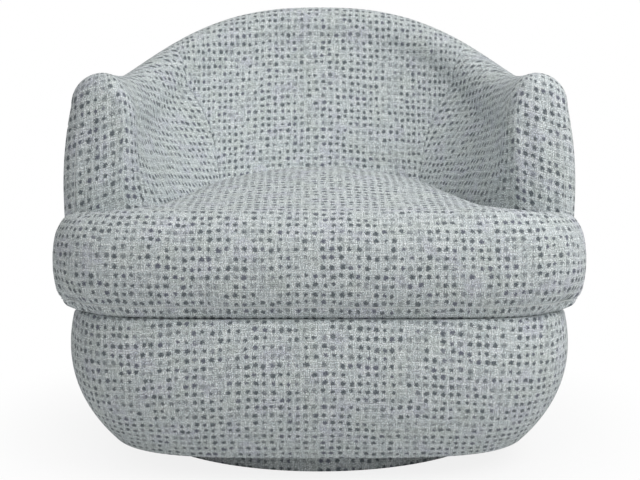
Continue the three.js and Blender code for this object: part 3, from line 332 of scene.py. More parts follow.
def wall_at(tub, bowl, travel):
    """Sizes of the wall where an upright plane crosses it. A travel below 0 is metres in front
    of the widest line, along an arm, and one above 0 is the plane's angle round the back.
    Each distance is a superellipse's reach, less a taper that grows as the square of the
    share of the way to the arm's front. The crest sinks behind the arm's front, as a bell
    curve of the place along the chair."""
    ahead = np.minimum(travel, 0)
    angle = np.maximum(travel, 0)
    share = (ahead / (tub.front - tub.widest_y)) ** 2
    crest = reach(angle, tub.crest_half, tub.crest_rear, tub.crest_power) - tub.crest_taper * share
    belly = reach(angle, tub.belly_half, tub.belly_rear, tub.belly_power)
    outline = bowl_outline(bowl, bowl.top_height)
    drop = (np.abs(ahead) / outline["front"]) ** outline["front_power"]
    narrowing = outline["half"] * (1 - (1 - drop) ** (1 / outline["front_power"]))
    crest_y = tub.widest_y + ahead + crest * np.sin(angle)
    climb = clamp((crest_y - tub.rise_start) / (tub.rise_end - tub.rise_start))
    dip = tub.dip * np.exp(-(((crest_y - DIP_PLACE) / DIP_SPREAD) ** 2))
    return {
        "ahead": ahead,
        "angle": angle,
        "crest": crest,
        "inside": reach(angle, tub.inside_half, tub.inside_rear, 2) + tub.inside_flare * share,
        "belly": belly - tub.belly_taper * share,
        "crease": reach(angle, outline["half"], outline["rear"], bowl.rear_power) - narrowing,
        "height": mix(tub.arm_height, tub.back_height, climb**tub.rise_power) - dip,
        "fall": mix(tub.arm_fall, tub.back_fall, climb),
    }


def inside_face(tub, wall, height):
    """Distance to the inside face at a height: it leaves the roll upright and falls back to the
    seat as a power of the share of the way down."""
    top = wall["height"] - wall["fall"]
    fall = clamp((top - height) / (top - tub.seat_line))
    return mix(wall["crest"] - tub.roll, wall["inside"], fall**tub.recline_power)


def outside_face(tub, wall, height):
    """Distance to the outside face: two parabolas that meet upright at the belly's height, one
    up to the roll and one down to the crease."""
    top = wall["height"] - tub.roll
    climb = np.maximum(height - tub.belly_height, 0) / (top - tub.belly_height)
    fall = np.maximum(tub.belly_height - height, 0) / (tub.belly_height - tub.foot)
    upper = mix(wall["belly"], wall["crest"] + tub.roll, climb**2)
    return upper + (wall["crease"] - wall["belly"]) * fall**2


def place(tub, wall, distance, height, side):
    """Points at distances and heights in the wall's upright planes, as x, y and z."""
    x = side * distance * np.cos(wall["angle"])
    y = tub.widest_y + wall["ahead"] + distance * np.sin(wall["angle"])
    return np.stack(np.broadcast_arrays(x, y, height), axis=-1)


def drawn_in(distance, height, inset):
    """A profile moved square to itself, into the padding, by an inset. The direction is that
    of the two neighbours of each point, turned a quarter."""
    along_d = np.roll(distance, -1, 1) - np.roll(distance, 1, 1)
    along_h = np.roll(height, -1, 1) - np.roll(height, 1, 1)
    size = np.maximum(np.hypot(along_d, along_h), TINY)
    return distance + inset * along_h / size, height - inset * along_d / size


def seam_inset(near, radius):
    """How far padding falls away as it rounds into a seam: a quarter circle of that radius."""
    gap = np.clip(radius - near, 0, radius)
    return radius - np.sqrt(radius**2 - gap**2)


def fine_ends(low, high, count, first, last):
    """Places from low to high, spaced evenly but with close rows at an end that rounds over.
    first and last are the rounding's size at each end, in the same units, or 0 for none."""
    turns = 1 - np.cos(np.linspace(0, np.pi / 2, QUARTER_ROWS))
    middle = np.linspace(low + first, high - last, count)
    start = low + first * turns[:-1] if first else np.empty(0)
    end = (high - last * turns[:-1])[::-1] if last else np.empty(0)
    return np.concatenate([start, middle, end])


def end_round(tub, share):
    """Width and depth of the rounding at an arm's front edge, from the inner side at share 0
    over the roll to the outer side at share 1."""
    return mix(tub.inner_round, tub.outer_round, share), mix(tub.inner_deep, tub.outer_deep, share)


def end_inset(tub, share, y):
    """How far the padding is drawn in at a place along the arm: a quarter ellipse that starts
    at its depth behind the front and reaches its width there."""
    wide, deep = end_round(tub, share)
    sine = clamp(1 - (y - tub.front) / deep)
    return wide * (1 - np.sqrt(1 - sine**2))


def row_lengths(points):
    """Length along each row of points from the row's start, level part only."""
    steps = np.hypot(*np.moveaxis(np.diff(points[..., :2], axis=0), -1, 0))
    return np.concatenate([np.zeros((1, points.shape[1])), np.cumsum(steps, axis=0)])


def path_lengths(path):
    """Length along a path to each of its points."""
    steps = np.linalg.norm(np.diff(path, axis=0), axis=1)
    return np.concatenate([[0], np.cumsum(steps)])


def column_lengths(points):
    """Length up each column of points from the column's foot."""
    steps = np.linalg.norm(np.diff(points, axis=1), axis=-1)
    return np.concatenate([np.zeros((points.shape[0], 1)), np.cumsum(steps, axis=1)], axis=1)


# Meshes

def signed_volume(points, faces):
    """Six times the volume inside the faces, each cut into triangles from its first corner."""
    total = 0.0
    for face in faces:
        first, others = points[face[0]], points[np.asarray(face[1:])]
        total += np.cross(others[:-1] - first, others[1:] - first).sum(axis=0) @ first
    return total


def quad_faces(ids, is_closed):
    """Four-sided faces of a grid of point numbers. A closed grid joins its last column to its
    first."""
    after = np.roll(ids, -1, axis=1) if is_closed else ids[:, 1:]
    here = ids if is_closed else ids[:, :-1]
    return np.stack([here[:-1], after[:-1], after[1:], here[1:]], axis=-1).reshape(-1, 4)


def points_of(mesh):
    """A mesh's points, as rows of x, y and z."""
    found = np.empty(len(mesh.vertices) * 3)
    mesh.vertices.foreach_get("co", found)
    return found.reshape(-1, 3)


def whole_values(items, key):
    """One whole number for each of a mesh's items, such as the point of each corner."""
    found = np.empty(len(items), np.int32)
    items.foreach_get(key, found)
    return found


def set_cloth_map(mesh, corner_uv):
    """Writes the UV map cloth from one place for each corner of a face."""
    layer = mesh.uv_layers.new(name="cloth")
    layer.data.foreach_set("uv", corner_uv.astype(np.float32).ravel())


def make_mesh(name, points, quads, caps, uv, material, fan=()):
    """An object from whole arrays: smooth four-sided faces, flat caps and a smooth fan, which
    close it together and are turned over if they face inwards. uv has one place on the cloth
    for each point."""
    faces = [*quads.tolist(), *caps, *fan]
    edges = points[quads[:, 1:]] - points[quads[:, :1]]
    turned = np.cross(edges[:, 0], edges[:, 1]) + np.cross(edges[:, 1], edges[:, 2])
    volume = np.einsum("ij,ij->", turned, points[quads[:, 0]])
    if volume + signed_volume(points, faces[len(quads):]) < 0:
        faces = [face[::-1] for face in faces]
    mesh = bpy.data.meshes.new(name)
    mesh.from_pydata(points.tolist(), [], faces)
    is_smooth = np.ones(len(faces), bool)
    is_smooth[len(quads):len(quads) + len(caps)] = False
    mesh.polygons.foreach_set("use_smooth", is_smooth)
    set_cloth_map(mesh, uv[whole_values(mesh.loops, "vertex_index")])
    mesh.materials.append(material)
    piece = bpy.data.objects.new(name, mesh)
    bpy.context.scene.collection.objects.link(piece)
    return piece


def make_loft(name, points, uv, material, is_ring=False):
    """A closed body from a grid of points: rows of closed sections, with a flat cap at each end,
    or with the last section joined to the first in a ring."""
    rows, count = points.shape[:2]
    ids = np.arange(rows * count).reshape(rows, count)
    quads = quad_faces(np.concatenate([ids, ids[:1]]) if is_ring else ids, True)
    caps = [] if is_ring else outward_caps(quads, ids[[0, -1]].tolist())
    return make_mesh(name, points.reshape(-1, 3), quads, caps, uv.reshape(-1, 2), material)


def outward_caps(quads, caps):
    """Caps listed so that they turn the same way as the faces beside them: an edge that a face
    runs along one way is run along the other way by its cap."""
    edges = np.concatenate([np.stack([quads[:, k], quads[:, (k + 1) % 4]], 1) for k in range(4)])
    known = set(map(tuple, edges.tolist()))
    return [cap[::-1] if (cap[0], cap[1]) in known else cap for cap in caps]


# Cover pieces

def arm_travel(tub, count):
    """Planes along an arm from its closed front to the seam with the back, and how far each is
    from that seam."""
    start = tub.front + tub.front_depth - tub.widest_y
    straight = np.linspace(start, 0, count // 3)[:-1]
    bend = fine_ends(0, tub.seam_angle, count - count // 3, 0, tub.seam_round / tub.crest_half)
    travel = np.concatenate([straight, bend])
    return travel, (tub.seam_angle - travel) * tub.crest_half


def back_travel(tub):
    """Planes round the back from seam to seam, and how far each is from the nearer seam."""
    size = tub.seam_round / tub.crest_half
    travel = fine_ends(tub.seam_angle, np.pi - tub.seam_angle, BACK_ROWS, size, size)
    near = np.minimum(travel - tub.seam_angle, np.pi - tub.seam_angle - travel)
    return travel, near * tub.crest_half


def pad_grid(tub, bowl, travel):
    """The padding of a wall as a grid of closed sections: up the inside, round the roll, down
    to its flap, then back up and down the slot that takes the frame. The seam with the next
    piece bows in halfway up, as a half sine of the share of the way from seat to roll, and
    leans out evenly from roll to seat. Also returns the number of columns that show."""
    rise = np.linspace(0, 1, INSIDE_COLUMNS)
    level = np.ones(ROLL_COLUMNS + FLAP_COLUMNS + 2)
    rise_share = np.concatenate([[0], rise, level, np.linspace(1, 0, SLOT_COLUMNS), [0]])
    is_back = travel.max() > tub.seam_angle + 0.01
    if is_back:
        weight = np.cos(clamp((travel - tub.seam_angle) / (np.pi - 2 * tub.seam_angle)) * np.pi)
    else:
        weight = clamp(travel / tub.seam_angle) ** 2
    bow = tub.seam_bow * np.sin(np.pi * rise_share) - tub.seam_sink * (1 - rise_share)
    wall = wall_at(tub, bowl, travel[:, None] + weight[:, None] * bow)
    counts = (1 + INSIDE_COLUMNS, ROLL_COLUMNS, FLAP_COLUMNS, 2, SLOT_COLUMNS, 1)
    ends = np.cumsum(counts)
    inside, roll, flap, edge, slot, foot = (
        {key: value[:, end - count:end] for key, value in wall.items()}
        for count, end in zip(counts, ends)
    )
    low = np.full((len(travel), 1), tub.foot)
    inner_top = (inside["height"] - inside["fall"])[:, 1:]
    inside_h = np.concatenate([low, mix(tub.seat_line, inner_top, rise)], axis=1)
    turn = np.linspace(np.pi, 0, ROLL_COLUMNS + 1)[1:]
    tall = np.where(turn > np.pi / 2, roll["fall"], tub.roll)
    flap_top = flap["height"] - tub.roll
    flap_h = mix(flap_top, flap_top - tub.flap, np.linspace(0, 1, FLAP_COLUMNS + 1)[1:])
    edge_foot = edge["height"][:, 0] - tub.roll - tub.flap
    edge_h = np.stack([edge_foot, edge["height"][:, 1] - tub.roll_cover], axis=1)
    slot_top = slot["height"] - tub.roll_cover
    slot_h = mix(slot_top, tub.seat_line, np.linspace(0, 1, SLOT_COLUMNS))
    distance = np.concatenate([
        inside_face(tub, inside, inside_h),
        roll["crest"] + tub.roll * np.cos(turn),
        outside_face(tub, flap, flap_h),
        edge["crest"] + tub.slot,
        inside_face(tub, slot, slot_h) + tub.pad,
        inside_face(tub, foot, low) + tub.pad,
    ], axis=1)
    roll_h = roll["height"] - tall * (1 - np.sin(turn))
    height = np.concatenate([inside_h, roll_h, flap_h, edge_h, slot_h, low], axis=1)
    return wall, distance, height, ends[2]


def pad_points(tub, bowl, planes, side):
    """The padding's points, rounded into its seams, the number of columns that show, and the
    length up each of those."""
    travel, near = planes
    wall, distance, height, visible = pad_grid(tub, bowl, travel)
    up = column_lengths(place(tub, wall, distance, height, side)[:, :visible])
    inset = np.zeros_like(distance)
    inset[:, :visible] = PAD_FALL * np.maximum(
        seam_inset(near[:, None], tub.seam_round), seam_inset(up[:, -1:] - up, tub.flap_round)
    )
    shown = {key: value[:, :visible] for key, value in wall.items()}
    over = clamp((distance[:, :visible] - shown["crest"] + tub.roll) / (2 * tub.roll))
    inset[:, :visible] += end_inset(tub, over, tub.widest_y + shown["ahead"])
    foot = distance[:, 0] + inset[:, 0]
    distance, height = drawn_in(distance, height, inset)
    distance[:, 0], height[:, 0] = foot, tub.foot
    return place(tub, wall, distance, height, side), visible, up


def cloth_rows(points, visible, up, across_start):
    """Places on the cloth: across is the level length along each row, and up the length up each
    column from the seat line. The hidden columns repeat the last one that shows."""
    across = row_lengths(points) + across_start
    rise = np.repeat(up[:, -1:], points.shape[1], axis=1)
    rise[:, :visible] = up - up[:, 1:2]
    return np.stack([across, rise], axis=-1)


def make_inside_back(tub, bowl, material):
    """The padded back between its two seams. Its rows of dots stay level."""
    points, visible, up = pad_points(tub, bowl, back_travel(tub), 1)
    uv = cloth_rows(points, visible, up, 0)
    uv[:, :, 0] = uv[:, :, 0].max(axis=0, keepdims=True) / 2 - uv[:, :, 0]
    piece = make_loft("inside_back_cover", points, uv / BACK_STRETCH, material)
    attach(piece, "chair")
    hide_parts("inside_back")


def arm_row_drop(across):
    """How far the rows of an arm's cloth lie off level. On the front they climb towards the
    inner edge, as a straight slope, and on the inside they fall, fast at first and then less."""
    front = FRONT_SLOPE * np.minimum(across, 0)
    inside = -ROW_DROP * (1 - np.exp(-np.maximum(across, 0) / DROP_RUN))
    return front + inside


def pulled_length(along):
    """Length of cloth over a length along an arm: the sum of one over the pull, which eases as a
    smooth step, whose own sum is the share cubed less half its fourth power."""
    front, rear = 1 / ARM_PULL[0], 1 / ARM_PULL[1]
    start, run = PULL_EASES
    share = np.maximum(along - start, 0) / run
    eased = np.where(share < 1, share**3 - share**4 / 2, share - 0.5)
    return front * along + (rear - front) * run * eased


def make_inside_arm(tub, bowl, name, side, material):
    """The padded inside of an arm with its roll, from the closed front to the seam. Its cloth
    goes on from the front's, and lengths along it are evened out between seat and roll. Over the
    roll, the pull along the inside gives way smoothly to that of its outer side."""
    points, visible, up = pad_points(tub, bowl, arm_travel(tub, ARM_ROWS), side)
    _, arc, _, _ = arm_front_grid(tub, bowl, side)
    uv = cloth_rows(points, visible, up, 0)
    evened = uv[:, :visible, 0].mean(axis=1, keepdims=True)
    along = mix(uv[:, :, 0], evened, EVENED)
    outer_columns = ROLL_COLUMNS + FLAP_COLUMNS
    over = smooth((np.arange(points.shape[1]) - visible + outer_columns) / outer_columns)
    uv[:, :, 0] = mix(pulled_length(along), along / ROLL_PULL, over)
    wall = wall_at(tub, bowl, np.array(tub.front - tub.widest_y))
    reached = np.maximum.accumulate(points[0, :, 2])
    edge = tub.inside_half + tub.inside_flare - inside_face(tub, wall, reached)
    uv[:, :, 0] += edge + arc[-1, 0] - tub.inner_round
    uv[:, :, 1] -= arm_row_drop(uv[:, :, 0])
    uv[:, :, 0] *= -side
    piece = make_loft(f"inside_arm_cover_{name}", points, uv / ARM_STRETCH, material)
    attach(piece, "chair")
    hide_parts(f"inside_arm_{name}")


def arm_front_grid(tub, bowl, side):
    """The rounded end of an arm as a grid: rows go from its back to the front plane, straight
    and then along a quarter ellipse, and columns go up the inner side, round the roll and down
    the outer side. A seam is pressed in along a row of the outer side up to the flap's height
    and back from there, as a bell curve of the distance from it."""
    flap_foot = tub.arm_height - tub.roll - tub.flap
    even = np.linspace(tub.foot, tub.arm_height - tub.roll, 46)
    levels = np.unique(np.concatenate([even, flap_foot + np.linspace(-NEAR_FLAP, NEAR_FLAP, 9)]))
    inner_share = (levels - tub.foot) / (tub.arm_height - tub.roll - tub.foot)
    inner_levels = mix(tub.foot, tub.arm_height - tub.arm_fall, inner_share)
    round_over = np.linspace(np.pi, 0, 41)[1:-1]
    count = len(levels)
    share = np.concatenate([np.zeros(count), (1 + np.cos(round_over)) / 2, np.ones(count)])
    wide, deep = end_round(tub, share)
    first = np.arcsin(clamp(1 - tub.front_depth / deep))
    straight = np.maximum(tub.front_depth - deep, 0)
    curve = (np.pi / 2 - first) * (wide + deep) / 2
    total = straight + curve
    seam_turn = np.arccos(1 - tub.front_seam / tub.outer_round)
    seam_share = (straight[-1] + curve[-1] * seam_turn / (np.pi / 2)) / total[-1]
    closer = seam_share + np.linspace(-NEAR_SEAM, NEAR_SEAM, 9)
    rows = np.concatenate([np.linspace(0, 1, 20), closer])
    rows = np.unique(rows[(rows >= 0) & (rows <= 1)])
    arc = rows[:, None] * total
    bent = clamp((arc - straight) / curve)
    turn = first + bent * (np.pi / 2 - first)
    is_straight = arc < straight
    bent_y = tub.front + deep * (1 - np.sin(turn))
    y = np.where(is_straight, tub.front + tub.front_depth - arc, bent_y)
    inset = np.where(is_straight, 0, wide * (1 - np.cos(turn)))
    wall = wall_at(tub, bowl, y - tub.widest_y)
    inner = {key: value[:, :count] for key, value in wall.items()}
    outer = {key: value[:, -count:] for key, value in wall.items()}
    distance = np.concatenate([
        inside_face(tub, inner, inner_levels),
        wall["crest"][:, count:-count] + tub.roll * np.cos(round_over),
        outside_face(tub, outer, levels[::-1]),
    ], axis=1)
    tall = np.where(round_over > np.pi / 2, tub.arm_fall, tub.roll)
    over = tub.arm_height - tall * (1 - np.sin(round_over))
    height = np.broadcast_to(np.concatenate([inner_levels, over, levels[::-1]]), distance.shape)
    is_outer = np.arange(distance.shape[1]) >= count + len(over)
    off_seam = np.abs(arc - seam_share * total)
    off_flap = np.hypot(np.maximum(arc - seam_share * total, 0), height - flap_foot)
    off = np.where(height > flap_foot, np.hypot(off_seam, height - flap_foot), off_seam)
    press = tub.seam_deep * np.exp(-((np.minimum(off, off_flap) / PRESS_SPREAD) ** 2)) * is_outer
    foot = distance[:, [0, -1]] + [1, -1] * inset[:, [0, -1]]
    moved_d, moved_h = drawn_in(distance, height, inset + press * np.cos(turn))
    moved_d[:, [0, -1]], moved_h[:, [0, -1]] = foot, tub.foot
    points = np.stack([side * moved_d, y + press * np.sin(turn), moved_h], axis=-1)
    seam_row = int(np.abs(rows - seam_share).argmin())
    flap_column = len(share) - 1 - int(np.abs(levels - flap_foot).argmin())
    return points, arc, seam_row, flap_column


def make_arm_front(tub, bowl, name, side, material, thread):
    """The closed end of an arm: its rounded end, and a face that is filled from the inner side
    to the outer side and domes a little as a sine squared."""
    shell, arc, seam_row, flap_column = arm_front_grid(tub, bowl, side)
    rows, count = shell.shape[:2]
    half = count // 2
    across = np.linspace(0, 1, 13)[1:-1]
    left, right = shell[-1, :half], shell[-1, ::-1][:half]
    face = mix(left[:, None], right[:, None], across[None, :, None])
    from_foot = clamp((left[:, 2] - tub.foot) / DOME_RUNS[0])
    dome_up = from_foot * clamp((shell[-1, half, 2] - left[:, 2]) / DOME_RUNS[1])
    face[..., 1] -= DOME * np.sin(np.pi * across) ** 2 * np.sin(dome_up * np.pi / 2)[:, None] ** 2
    shell_ids = np.arange(rows * count).reshape(rows, count)
    face_ids = rows * count + np.arange(face.shape[0] * face.shape[1]).reshape(face.shape[:2])
    grid = np.column_stack([shell_ids[-1, :half], face_ids, shell_ids[-1, ::-1][:half]])
    points = np.concatenate([shell.reshape(-1, 3), face.reshape(-1, 3)])
    quads = np.concatenate([quad_faces(shell_ids, False), quad_faces(grid.T, False)])
    tip = int(shell_ids[-1, half])
    top = grid[-1].tolist()
    fan = [[first, second, tip] for first, second in zip(top, top[1:])]
    foot = shell_ids[:, 0].tolist() + face_ids[0].tolist() + shell_ids[::-1, -1].tolist()
    flat = np.concatenate([
        arm_front_map(shell[-1], arc, side).reshape(-1, 2),
        (face[..., ::2] * (side, 1)).reshape(-1, 2),
    ])
    along = tub.inside_half + tub.inside_flare - flat[:, 0]
    uv = np.stack([along * -side, flat[:, 1] - tub.seat_line - arm_row_drop(along)], axis=-1)
    caps = outward_caps(quads, [shell_ids[0].tolist(), foot])
    piece = make_mesh(
        f"arm_front_cover_{name}", points, quads, caps, uv / ARM_STRETCH, material,
        outward_caps(quads, fan),
    )
    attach(piece, "chair")
    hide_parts(f"arm_front_{name}")
    path = np.concatenate([shell[seam_row, :flap_column - 1:-1], shell[seam_row::-1, flap_column]])
    make_thread(f"arm_front_thread_{name}", path, tub.thread, thread)


def arm_front_map(edge, arc, side):
    """Unrolls the rounded edge into the plane of the front: each point moves out from the
    edge, square to it, by the length of the arc that it lies along."""
    flat = np.stack([edge[:, 0] * side, edge[:, 2]], axis=-1)
    along = np.roll(flat, -3, 0) - np.roll(flat, 3, 0)
    along[:3], along[-3:] = along[3], along[-4]
    along /= np.linalg.norm(along, axis=1, keepdims=True)
    outward = np.stack([-along[:, 1], along[:, 0]], axis=-1)
    out = (arc[-1] - arc)[..., None]
    return flat[None] + outward[None] * out


def tube(path, radii, sides):
    """Rings of points square to a path, and their places along and round it."""
    along = np.gradient(path, axis=0)
    along /= np.linalg.norm(along, axis=1, keepdims=True)
    level = np.cross(along, np.where(np.abs(along[:, 2:]) > 0.9, [[0, 1, 0]], [[0, 0, 1]]))
    level /= np.linalg.norm(level, axis=1, keepdims=True)
    raised = np.cross(along, level)
    turn = np.linspace(0, 2 * np.pi, sides + 1)[:-1]
    cosine, sine = np.cos(turn)[:, None], np.sin(turn)[:, None]
    ring = level[:, None] * cosine + raised[:, None] * sine
    uv = np.stack(np.broadcast_arrays(path_lengths(path)[:, None], turn * radii[:, None]), -1)
    return path[:, None] + radii[:, None, None] * ring, uv


def make_thread(name, path, radius, material):
    """A thread along a path: six-sided rings square to it, thinner where it dives between
    two stitches, as a sine of the length over the length of a stitch."""
    keep = np.concatenate([[True], np.linalg.norm(np.diff(path, axis=0), axis=1) > SAME_PLACE])
    path, travelled = path[keep], path_lengths(path[keep])
    wanted = np.linspace(0, travelled[-1], max(int(travelled[-1] / STITCH_STEP), 8))
    path = np.stack([np.interp(wanted, travelled, path[:, k]) for k in range(3)], -1)
    thick = radius * (0.8 + 0.2 * np.abs(np.sin(np.pi * wanted / STITCH)))
    points, uv = tube(path, thick, 6)
    piece = make_loft(name, points, uv, material)
    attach(piece, "chair")


def make_springs(looks, material):
    """The rocker's coil springs: rings along a helix that climbs evenly, from the bottom of each
    spring's box to its top, between the cradle and the plate."""
    for corner in range(1, 5):
        solid = f"rocker_spring_{corner}"
        low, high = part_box(solid)
        wire = looks.spring_wire / 2
        radius = (high.x - low.x) / 2 - wire
        share = np.linspace(0, 1, 181)
        turn = share * 2 * np.pi * looks.spring_turns
        x, y = (low.x + high.x) / 2, (low.y + high.y) / 2
        z = mix(low.z + wire, high.z - wire, share)
        path = np.stack([x + radius * np.cos(turn), y + radius * np.sin(turn), z], -1)
        points, uv = tube(path, np.full(len(path), wire), 8)
        piece = make_loft(f"rocker_coil_{corner}", points, uv, material)
        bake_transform(piece)
        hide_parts(solid)


def make_outside_panel(tub, bowl, name, solid, planes, side, material):
    """The cloth panel over an outside face: up its outer face from the bowl to the flap, and
    down its inner face, rounded into the seams on all its edges."""
    travel, near = planes
    wall = wall_at(tub, bowl, travel[:, None])
    top = wall["height"] - tub.roll - tub.flap
    share = fine_ends(0, 1, 60, 0.02, 0.02)
    outer_h = mix(tub.foot, top, share)
    inner_h = mix(top, tub.foot, np.linspace(0, 1, 12))
    height = np.concatenate([outer_h, inner_h], axis=1)
    distance = np.concatenate([
        outside_face(tub, wall, outer_h), outside_face(tub, wall, inner_h) - tub.panel,
    ], axis=1)
    visible = len(share)
    up = column_lengths(place(tub, wall, distance, height, side)[:, :visible])
    distance[:, :visible] -= PANEL_FALL * np.maximum(
        seam_inset(np.minimum(near[:, None], up), tub.seam_round),
        seam_inset(up[:, -1:] - up, tub.flap_round),
    )
    points = place(tub, wall, distance, height, side)
    uv = cloth_rows(points, visible, up, PANEL_START * side)
    piece = make_loft(name, points, uv, material)
    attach(piece, "chair")
    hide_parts(solid)


def make_outside(tub, bowl, material):
    """The outside of both arms and of the back."""
    for name, side in SIDES:
        cover, solid = f"outside_arm_cover_{name}", f"outside_arm_{name}"
        planes = arm_travel(tub, ARM_PANEL_ROWS)
        make_outside_panel(tub, bowl, cover, solid, planes, side, material)
    make_outside_panel(
        tub, bowl, "outside_back_cover", "outside_back", back_travel(tub), 1, material
    )


def make_bowl(tub, bowl, material):
    """The bowl below the cushion: a rounded rim, the swelling wall, a rounded top edge and a
    ledge, then the inner wall back to the rim, carried all the way round. In front its upper
    part is lifted by a smooth step of the place along the chair."""
    angle = np.linspace(-np.pi / 2, 3 * np.pi / 2, ROUND_ROWS)[:-1, None]
    turn = np.linspace(0, np.pi / 2, QUARTER_ROWS)
    wall_h = np.linspace(bowl.rim_height + bowl.edge, bowl.top_height - bowl.top_edge, 60)
    rim_h = bowl.rim_height + bowl.edge * (1 - np.cos(turn[:-1]))
    rim_in = bowl.edge * (1 - np.sin(turn[:-1]))
    edge_h = bowl.top_height - bowl.top_edge * (1 - np.sin(turn[1:]))
    edge_in = bowl.top_edge * (1 - np.cos(turn[1:]))
    ledge_h = [bowl.top_height, bowl.top_height - bowl.skin]
    inner_h = np.linspace(bowl.top_height - bowl.skin, bowl.rim_height, 12)
    height = np.concatenate([rim_h, wall_h, edge_h, ledge_h, inner_h])
    wall_in = np.zeros(len(wall_h))
    inner_in = np.full(len(inner_h), bowl.skin)
    inset = np.concatenate([rim_in, wall_in, edge_in, [bowl.ledge] * 2, inner_in])
    distance = bowl_reach(bowl, height[None, :], angle) - inset
    y = tub.widest_y + distance * np.sin(angle)
    lift = bowl.front_lift * smooth((LIFT_START - y) / LIFT_RUN)
    lifted = height + lift * clamp((height - bowl.fullest) / (bowl.top_height - bowl.fullest))
    points = np.stack([distance * np.cos(angle), y, lifted], axis=-1)
    across = row_lengths(np.concatenate([points, points[:1]]))
    whole, across = across[-1:], across[:-1]
    across = np.where(across > whole / 2, across - whole, across)
    uv = np.stack([across, column_lengths(points)], axis=-1)
    piece = make_loft("bowl_cover", points, uv, material, is_ring=True)
    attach(piece, "chair")
    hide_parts("body_band_front", "body_band_rear")


def make_plinth_cover(material):
    """The cloth round the plinth: a thin round wall whose bottom edge turns under."""
    low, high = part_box("plinth_cover")
    radius = high.x
    angle = np.linspace(-np.pi / 2, 3 * np.pi / 2, 193)[:-1, None]
    turn = np.linspace(0, np.pi / 2, 6)
    height = np.concatenate([
        low.z + PLINTH_EDGE * (1 - np.cos(turn)),
        np.linspace(low.z + PLINTH_EDGE, high.z, 24)[1:],
        np.linspace(high.z, low.z, 6),
    ])
    distance = np.concatenate([
        radius - PLINTH_EDGE * (1 - np.sin(turn)),
        np.full(23, radius),
        np.full(6, radius - PLINTH_SKIN),
    ])
    x, y = distance * np.cos(angle), distance * np.sin(angle)
    points = np.stack(np.broadcast_arrays(x, y, height), axis=-1)
    across = radius * (angle + np.pi / 2)
    across = np.where(across > np.pi * radius, across - 2 * np.pi * radius, across)
    uv = np.stack(np.broadcast_arrays(across, height), axis=-1) + PLINTH_START
    piece = make_loft("plinth_wrap", points, uv, material, is_ring=True)
    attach(piece, "plinth")
    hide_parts("plinth_cover")


# The cushion

def cushion_outline(tub, bowl, cushion, count):
    """The cushion's outline in plan, evenly spaced from the middle of its front round its right
    side and back along its left. The front is a superellipse, each ear turns in on a quarter
    circle, a second one leads into the neck, and the neck follows the inside of the arms and
    back. Also returns the outline's length, and the directions along it and inward."""
    ear_y = tub.front - cushion.clearance
    turn_y = ear_y - cushion.corner
    power = cushion.front_power
    turn_x = cushion.half * (1 - ((tub.widest_y - turn_y) / cushion.front) ** power) ** (1 / power)
    quarter = np.linspace(0, np.pi / 2, 40)
    sine, rest = np.sin(quarter), 1 - np.cos(quarter)
    x = turn_x * sine
    fall = (1 - (x / cushion.half) ** power) ** (1 / power)
    front = np.stack([x, tub.widest_y - cushion.front * fall], -1)
    corner = np.stack([turn_x - cushion.corner * rest, turn_y + cushion.corner * sine], -1)

    def neck(y):
        return wall_at(tub, bowl, y - tub.widest_y)["inside"] - cushion.clearance

    fillet_x = neck(ear_y + cushion.fillet) + cushion.fillet
    fillet = np.stack([fillet_x - cushion.fillet * sine, ear_y + cushion.fillet * rest], -1)
    side_y = np.linspace(ear_y + cushion.fillet, tub.widest_y, 30)[1:]
    straight = np.stack([neck(side_y), side_y], -1)
    angle = np.linspace(0, np.pi / 2, 60)[1:]
    distance = reach(angle, tub.inside_half, tub.inside_rear, 2) - cushion.clearance
    rear = np.stack([distance * np.cos(angle), tub.widest_y + distance * np.sin(angle)], -1)
    half = np.concatenate([front, corner[1:], fillet, straight, rear])
    whole = np.concatenate([half, (half * [-1, 1])[::-1][1:-1]])
    closed = np.concatenate([whole, whole[:1]])
    travelled = path_lengths(closed)
    wanted = np.linspace(0, travelled[-1], count + 1)[:-1]
    outline = np.stack([np.interp(wanted, travelled, closed[:, k]) for k in range(2)], -1)
    along = np.roll(outline, -1, 0) - np.roll(outline, 1, 0)
    along /= np.linalg.norm(along, axis=1, keepdims=True)
    return outline, travelled[-1], along, np.stack([-along[:, 1], along[:, 0]], -1)


def cushion_top(tub, cushion, x, y):
    """Height of the crowned top: the product of one less the square of the share of the way to
    the front or the rear and one less the square of the share of the way to a side, raised to a
    power. The crown narrows smoothly from the ears to the back."""
    front_y = tub.widest_y - cushion.front + cushion.front_round
    rear_y = tub.widest_y + tub.inside_rear
    length_y = np.where(y < cushion.crown_y, cushion.crown_y - front_y, rear_y - cushion.crown_y)
    along = clamp(np.abs(y - cushion.crown_y) / length_y)
    half = mix(cushion.crown_front, cushion.crown_rear, smooth((y - tub.front) / 0.3))
    across = clamp(np.abs(x) / half)
    bump = ((1 - along**2) * (1 - across**2)) ** cushion.crown_power
    return mix(cushion.edge, cushion.crown, bump)


